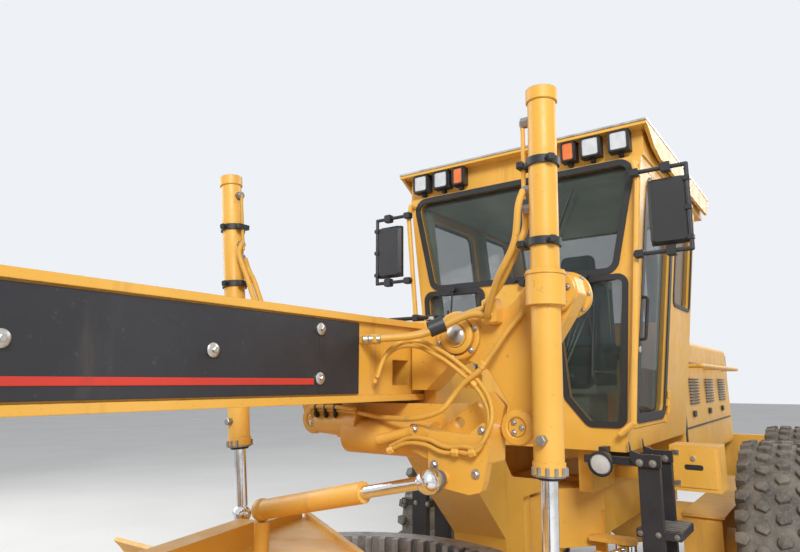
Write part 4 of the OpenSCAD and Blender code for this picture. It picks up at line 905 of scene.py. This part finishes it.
class GRADER_OT_beam(bpy.types.Operator):
    """Adds the beam's red stripe, cover bolts, hoses and bands"""
    bl_idname = "grader.beam"
    bl_label = "Beam"

    def execute(self, context):
        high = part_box("beam_covers")[1]
        y = high[1]
        stripe = Builder(both=True)
        stripe.add(brick((1.523, y - 0.002, 1.866), (high[0] - 0.02, y + 0.002, 1.887), 0.0005))
        for x, z in COVER_BOLTS:
            stripe.add(lathe(COVER_CAP, (x, y - 0.001, z), Y, 28, False), 1)
            stripe.add(bolt((x, y + 0.009, z), Y, 0.009, False), 1)
        stripe.make("beam_stripe", "front_frame", "stripe bright", "black_paint")
        pair = Builder().add(brick((1.24, BEAM_HALF - 0.05, 2.012), (1.276, 0.226, 2.048), 0.006), 1)
        for k in range(2):
            y, z = 0.56, 2.15 - 0.034 * k
            path = [(1.262, 0.186 + 0.026 * k, 2.03), (1.15, 0.33 + 0.02 * k, 2.05),
                    (1.05, 0.47 + 0.016 * k, 2.12), (1.01, y, z)]
            pair.add(hose(path, 0.0135, 48, 16))
            pair.add(peg(path[0], np.array([-0.012, 0.02, 0]), -1, 1, 0.015, 12), 2)
            pair.add(drum((0.995, y, z), (1.026, y, z), 0.016, 6), 2)
        pair.add(brick((0.976, 0.53, 2.085), (1.025, 0.59, 2.18), 0.008), 1)
        sleeve, way = oblong(0.026, -0.03, 0.03, 0.03), unit((-0.1, 0.14, 0.07))
        pair.add(lathe(sleeve, (1.11, 0.385, 2.078), way, 24), 3)
        looks = "tubes yellow bright plastic"
        pair.make("beam_hose_pair", "front_frame", looks, "yellow_paint", ("beam_hoses",))
        lines = Builder()
        for x in (0.79, 0.82):
            lines.add(hose([(x, y, z) for y, z in OVER_BEAM], 0.007, 72, 10))
        for y in (0.1, -0.1):
            lines.add(brick((0.775, y - 0.012, 2.136), (0.835, y + 0.012, 2.166), 0.003), 1)
        lines.make("beam_lines", "front_frame", "seal plastic", "black_paint")
        hoses = Builder()
        for gap in (0.0, 0.02):
            hoses.add(hose(np.array(BRACKET_HOSE) + (0.0, gap * 0.6, gap), 0.0085, 150, 12))
        hoses.add(hose(CROSS_HOSE, 0.0105, 110, 12))
        for k in range(3):
            hoses.add(hose(np.array(BUNDLE) + (0.012 * k, 0.0, 0.014 * (k - 1)), 0.0095, 40, 10))
        strap = rounded(oblong(0.99, 1.722, 1.044, 1.792), 0.02) * (-1, 1)
        for y in (-0.29, -0.235, -0.18):
            hoses.add(slab(strap, 0.01, (0, y, 0), -X, Z, 0.002), 1)
        for at, way in HOSE_NUTS:
            hoses.add(peg(at, unit(way), -0.014, 0.014, 0.0155), 2)
        hoses.add(brick((0.976, 0.462, 1.852), (1.044, 0.5, 1.905), 0.004), 2)
        hoses.make("bracket_hoses", "front_frame", "tubes plastic yellow", "yellow_paint")
        return {"FINISHED"}


class GRADER_OT_saddle(bpy.types.Operator):
    """Adds bolts, caps and plates to the lift saddle"""
    bl_idname = "grader.saddle"
    bl_label = "Lift saddle"

    def execute(self, context):
        caps = Builder()
        (by, bz), (ty, tz) = SADDLE_BOSS, TRUNNION
        for side in (1, -1):
            at = np.array([0.985, side * by, bz])
            caps.add(lathe(BOSS_RING, at, X)).add(lathe(BOSS_CAP, at, X))
            caps.add(lathe(BOSS_DOME, at, X, 32, False), 1)
            caps.each(bolt_circle(at + X * 0.01, 0.083, 6, 0.0075, 0.3), 1)
            caps.each(bolt_circle((0.864, side * ty, tz), 0.0815, 8, 0.0055), 1)
            caps.each(bolt_circle((0.998, side * ty, tz), 0.052, 6, 0.008, 0.2), 1)
            caps.add(drum((0.72, side * ty, tz), (0.735, side * ty, tz), 0.03, 24), 2)
        for y, z in FEET:
            at = (1.005, y, z)
            caps.add(lathe(FOOT_RING, at, X, 40)).each(bolt_circle(at, 0.02, 3, 0.007), 1)
        caps.each([bolt((1.078, y, z), X, 0.01) for y, z in BLOCK_BOLTS], 1)
        caps.each([bolt((1.095, y, z), X, 0.011) for y, z in STRAP_BOLTS], 1)
        caps.each([bolt((x, y, 2.136), Z, 0.014) for x in (0.765, 0.835) for y in (-0.19, 0.19)], 1)
        caps.add(torus((1.166, 0.4, 1.537), X, 0.034, 0.01, 28), 2)
        caps.add(drum((1.12, 0.4, 1.537), (1.158, 0.4, 1.537), 0.03, 28), 2)
        caps.make("saddle_fittings", "front_frame", "yellow bright iron", "yellow_paint")
        return {"FINISHED"}


class GRADER_OT_lifts(bpy.types.Operator):
    """Adds collars, gland nuts, clamps and hoses to the lift cylinders"""
    bl_idname = "grader.lifts"
    bl_label = "Lift cylinders"

    def execute(self, context):
        r = context.scene.grader_sizes.hose_radius
        for side, s in SIDES:
            pin, d = np.array(LIFT[side][0]), unit(LIFT[side][1])
            top, end = pin + d * LIFT_TOP, pin + d * (LIFT_TOP + LIFT_LENGTH)
            inward = np.array([0.0, -s, 0.0])
            body = Builder().add(lathe(COLLAR, top + d * 0.01, d, 40)).add(lathe(TOP_CAP, top, d, 40, False))
            body.add(lathe(GLAND, end + d * 0.006, d, 40), 1)
            u, v = axes_for(d)[:2]
            for a in np.arange(LUGS) * 2 * math.pi / LUGS:
                out = math.cos(a) * u + math.sin(a) * v
                if out @ inward < LUG_INWARD:
                    rim = end + out * (LIFT_R + 0.004)
                    body.add(brick_along(rim - d * 0.026, rim + d * 0.002, 0.011), 1)
            body.add(lathe(ROD_SEAL, end + d * 0.004, d, 32), 2)
            body.add(lathe(oblong(LIFT_R + 0.016, -0.052, LIFT_R + 0.02, -0.045), pin, d, 40))
            port = top + d * 0.1 + inward * LIFT_R
            body.add(peg(port, inward, -0.005, 0.03, 0.02), 1)
            body.add(peg(pin + d * 0.5 + X * LIFT_R, X, -0.005, 0.024, 0.018), 1)
            run = [pin + d * k + inward * (LIFT_R + 0.024) for k in (-0.33, -0.4, -0.5, -0.585)]
            body.add(hose(run + [port + inward * 0.03], r * 0.62, 40, 12), 3)
            for k in (-0.29, -0.36):
                body.add(peg(pin + d * k + inward * LIFT_R, inward, -0.004, 0.026, 0.019), 1)
            for k in (-0.16, -0.45):
                body.each(clamp(pin + d * k, d, LIFT_R + 0.0005, 0.028), 2)
                c = pin + d * k + inward * (LIFT_R + 0.026)
                body.add(brick_along(c - X * 0.036, c + X * 0.036, 0.024), 2)
            body.make(f"lift_fittings_{side}", f"lift_tube_{side}", "yellow steel seal tubes", "yellow_paint")
            bridge = Builder()
            for k, off in enumerate((-0.019, 0.019)):
                a = np.array([1.026, s * 0.56, 2.133 - off])
                join = pin + d * (-0.29 - 0.07 * k) + inward * (LIFT_R + 0.022) + X * (off * 0.5)
                middle = [(a[0] + 0.045 + off, s * 0.63, 2.235), (1.07 + off, s * 0.698, 2.36)]
                path = [a, a + (0.03, s * 0.01, 0.008), *middle, join + (off, -s * 0.012, -0.06), join]
                bridge.add(hose(path, r * 0.95, 48, 14))
            ob = bridge.make(f"lift_bridge_{side}", None, "tubes", "yellow_paint")
            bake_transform(ob)
        return {"FINISHED"}


# Lower machine: steps, tool box, blade, rear

STEP_TOPS, STEP_BARS, STEP_PITCH = (0.72, 1.08), 7, 0.043
BOX_LID, BOX_GRIP = oblong(0.735, 1.275, 0.97, 1.495), oblong(0.8, 1.375, 0.9, 1.405)
EDGE_BOLTS, EDGE_END = 24, 0.09
# Hood vents: where each sits along the hood, then the count and pitch of its black bars, which are painted
# shade standing in for the dark louvre slots
VENTS, VENT_SHADE_BARS, VENT_PITCH = (-2.5, -3.2, -3.9), 9, 0.024


class GRADER_OT_hardware(bpy.types.Operator):
    """Adds bolts and worn plates to the steps, the tool boxes, the blade and the hood"""
    bl_idname = "grader.hardware"
    bl_label = "Hardware"

    def execute(self, context):
        steps = Builder(both=True)
        for x in (-0.681, -0.411):
            steps.each([bolt((x, y, 1.456), X, 0.012) for y in (0.683, 0.749)])
        for z in STEP_TOPS:
            for x in -0.735 + STEP_PITCH * np.arange(STEP_BARS):
                steps.add(brick((x, 0.645, z + 0.039), (x + 0.012, 0.855, z + 0.047), 0.002))
            steps.each([bolt((-0.43, y, z + 0.02), X, 0.009) for y in (0.66, 0.75, 0.84)])
        steps.make("step_hardware", "rear_frame", "steel", "bare_steel")
        boxes = Builder(both=True).add(plate(rounded(BOX_LID, 0.012), 0.008, -0.931, 0.003))
        boxes.add(plate(rounded(BOX_GRIP, 0.012), 0.003, -0.924, 0.001), 1)
        for z in (1.3, 1.47):
            boxes.add(brick((-0.925, 0.742, z - 0.014), (-0.915, 0.775, z + 0.014), 0.002), 2)
        boxes.add(drum((-0.925, 0.85, 1.44), (-0.912, 0.85, 1.44), 0.014, 20), 2)
        boxes.make("tool_box_doors", "rear_frame", "yellow plastic bright", "yellow_paint")
        low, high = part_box("moldboard")
        edge = Builder()
        for y in np.linspace(low[1] + EDGE_END, high[1] - EDGE_END, EDGE_BOLTS):
            edge.add(bolt((high[0] - 0.002, y, low[2] + 0.1), X, 0.013, False))
        edge.make("edge_bolts", "moldboard", "steel", "bare_steel")
        low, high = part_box("hood")
        x, y = high[:2]
        trim = Builder(both=True)
        for z in (2.02, 1.52):
            trim.add(brick((low[0] + 0.1, y - 0.004, z), (x - 0.06, y + 0.003, z + 0.012), 0.001), 1)
        latch = rounded(oblong(0, 0, 0.09, 0.05), 0.01)
        for at in VENTS:
            trim.add(slab(latch, 0.012, (at, y + 0.012, 1.6), X, Z, 0.003))
            # Black bars across each vent: painted shade in place of the shade inside the louvre slots of the
            # yellow hood
            for z in VENT_PITCH * np.arange(VENT_SHADE_BARS):
                trim.add(brick((at - 0.2, y - 0.004, 1.7 + z), (at + 0.16, y + 0.005, 1.711 + z), 0.002))
        trim.add(brick((x - 0.055, y - 0.01, low[2] + 0.1), (x - 0.015, y + 0.004, high[2] - 0.03), 0.003))
        trim.make("hood_trim", "rear_frame", "black seal", "black_paint")
        return {"FINISHED"}


# The photograph's camera: picture width, focal length and the horizon's drop below the middle, in pixels
PICTURE_W, FOCAL, HORIZON = 800.0, 615.0, 106.0
SENSOR, EYE, EYE_TURN = 36.0, (3.054, 1.6, 1.875), 35.4
FLOOR_HALF, AIM = 60.0, (-0.5, 0.0, 1.5)
# The sky as light, and as the camera sees it directly, in glossy surfaces and through glass
SOFT_SKY, SEEN_SKY = ((0.93, 0.96, 1.0, 1.0), 0.55), ((0.9, 0.93, 0.97, 1.0), 0.95)
LIGHTS = (("key", (9.0, 7.0, 9.0), 1500.0, 4.0), ("fill", (2.0, -9.0, 6.0), 420.0, 6.0),
          ("back", (-12.0, 5.0, 8.0), 500.0, 5.0))


def studio(world):
    """Gives the world its two skies and a switch between them by the kind of ray."""
    world.use_nodes = True
    tree = world.node_tree
    tree.nodes.clear()
    skies = [node(tree, "ShaderNodeBackground", {0: c, 1: s}).outputs[0] for c, s in (SOFT_SKY, SEEN_SKY)]
    ray = node(tree, "ShaderNodeLightPath").outputs
    first = {0: ray["Is Camera Ray"], 1: ray["Is Glossy Ray"]}
    direct = node(tree, "ShaderNodeMath", first, operation="MAXIMUM").outputs[0]
    second = {0: direct, 1: ray["Is Transmission Ray"]}
    share = node(tree, "ShaderNodeMath", second, operation="MAXIMUM").outputs[0]
    sky = node(tree, "ShaderNodeMixShader", {0: share, 1: skies[0], 2: skies[1]}).outputs[0]
    node(tree, "ShaderNodeOutputWorld", {0: sky})


class GRADER_OT_stage(bpy.types.Operator):
    """Sets the camera, a pale floor and soft studio light"""
    bl_idname = "grader.stage"
    bl_label = "Stage"

    def execute(self, context):
        scene = context.scene
        cam = bpy.data.cameras.new("view")
        cam.lens, cam.sensor_width = SENSOR * FOCAL / PICTURE_W, SENSOR
        cam.clip_start, cam.clip_end = 0.05, 200.0
        ob = new_object("view", cam)
        ob.location = EYE
        turn = math.pi / 2 + math.radians(EYE_TURN)
        ob.rotation_euler = (math.pi / 2 + math.atan(HORIZON / FOCAL), 0.0, turn)
        scene.camera = ob
        me = bpy.data.meshes.new("floor")
        s = FLOOR_HALF
        me.from_pydata([(x, y, 0) for x, y in oblong(-s, -s, s, s)], [], [[0, 1, 2, 3]])
        n = Nodes("floor_pale")
        patches = n.ramp(n.noise(0.5, 3.0), 0.3, 0.7)
        n.drive("Base Color", n.mix(patches, (0.72, 0.71, 0.69), (0.68, 0.67, 0.65)))
        n.set(Roughness=0.9)
        me.materials.append(n.mat)
        floor = new_object("floor", me)
        scene.world = bpy.data.worlds.new("studio")
        studio(scene.world)
        for name, at, power, size in LIGHTS:
            lamp = bpy.data.lights.new(name, "AREA")
            lamp.energy, lamp.size = power, size
            ob = new_object(name, lamp)
            ob.location = at
            d = unit(np.subtract(AIM, at))
            ob.rotation_euler = (math.acos(-d[2]), 0.0, math.atan2(d[1], d[0]) - math.pi / 2)
        scene.view_settings.view_transform = "Standard"
        return {"FINISHED"}


class GRADER_PT_panel(bpy.types.Panel):
    bl_label = "Motor grader"
    bl_idname = "GRADER_PT_panel"
    bl_space_type = "VIEW_3D"
    bl_region_type = "UI"
    bl_category = "Grader"

    def draw(self, context):
        for group in (context.scene.grader_paint, context.scene.grader_sizes):
            for key in group.bl_rna.properties.keys():
                if key not in ("rna_type", "name"):
                    self.layout.prop(group, key)
        for cls in OPERATORS:
            self.layout.operator(cls.bl_idname)


OPERATORS = (GRADER_OT_stage, GRADER_OT_finish, GRADER_OT_wheels, GRADER_OT_windows, GRADER_OT_cabin,
             GRADER_OT_lamps, GRADER_OT_beam, GRADER_OT_saddle, GRADER_OT_lifts, GRADER_OT_hardware)
CLASSES = (GraderPaint, GraderSizes, *OPERATORS, GRADER_PT_panel)


def register():
    for cls in CLASSES:
        bpy.utils.register_class(cls)
    bpy.types.Scene.grader_paint = PointerProperty(type=GraderPaint)
    bpy.types.Scene.grader_sizes = PointerProperty(type=GraderSizes)


def unregister():
    del bpy.types.Scene.grader_paint
    del bpy.types.Scene.grader_sizes
    for cls in reversed(CLASSES):
        bpy.utils.unregister_class(cls)


def main():
    """Registers the add-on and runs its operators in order."""
    register()
    for cls in OPERATORS:
        group, name = cls.bl_idname.split(".")
        getattr(getattr(bpy.ops, group), name)()


if __name__ == "__main__":
    main()
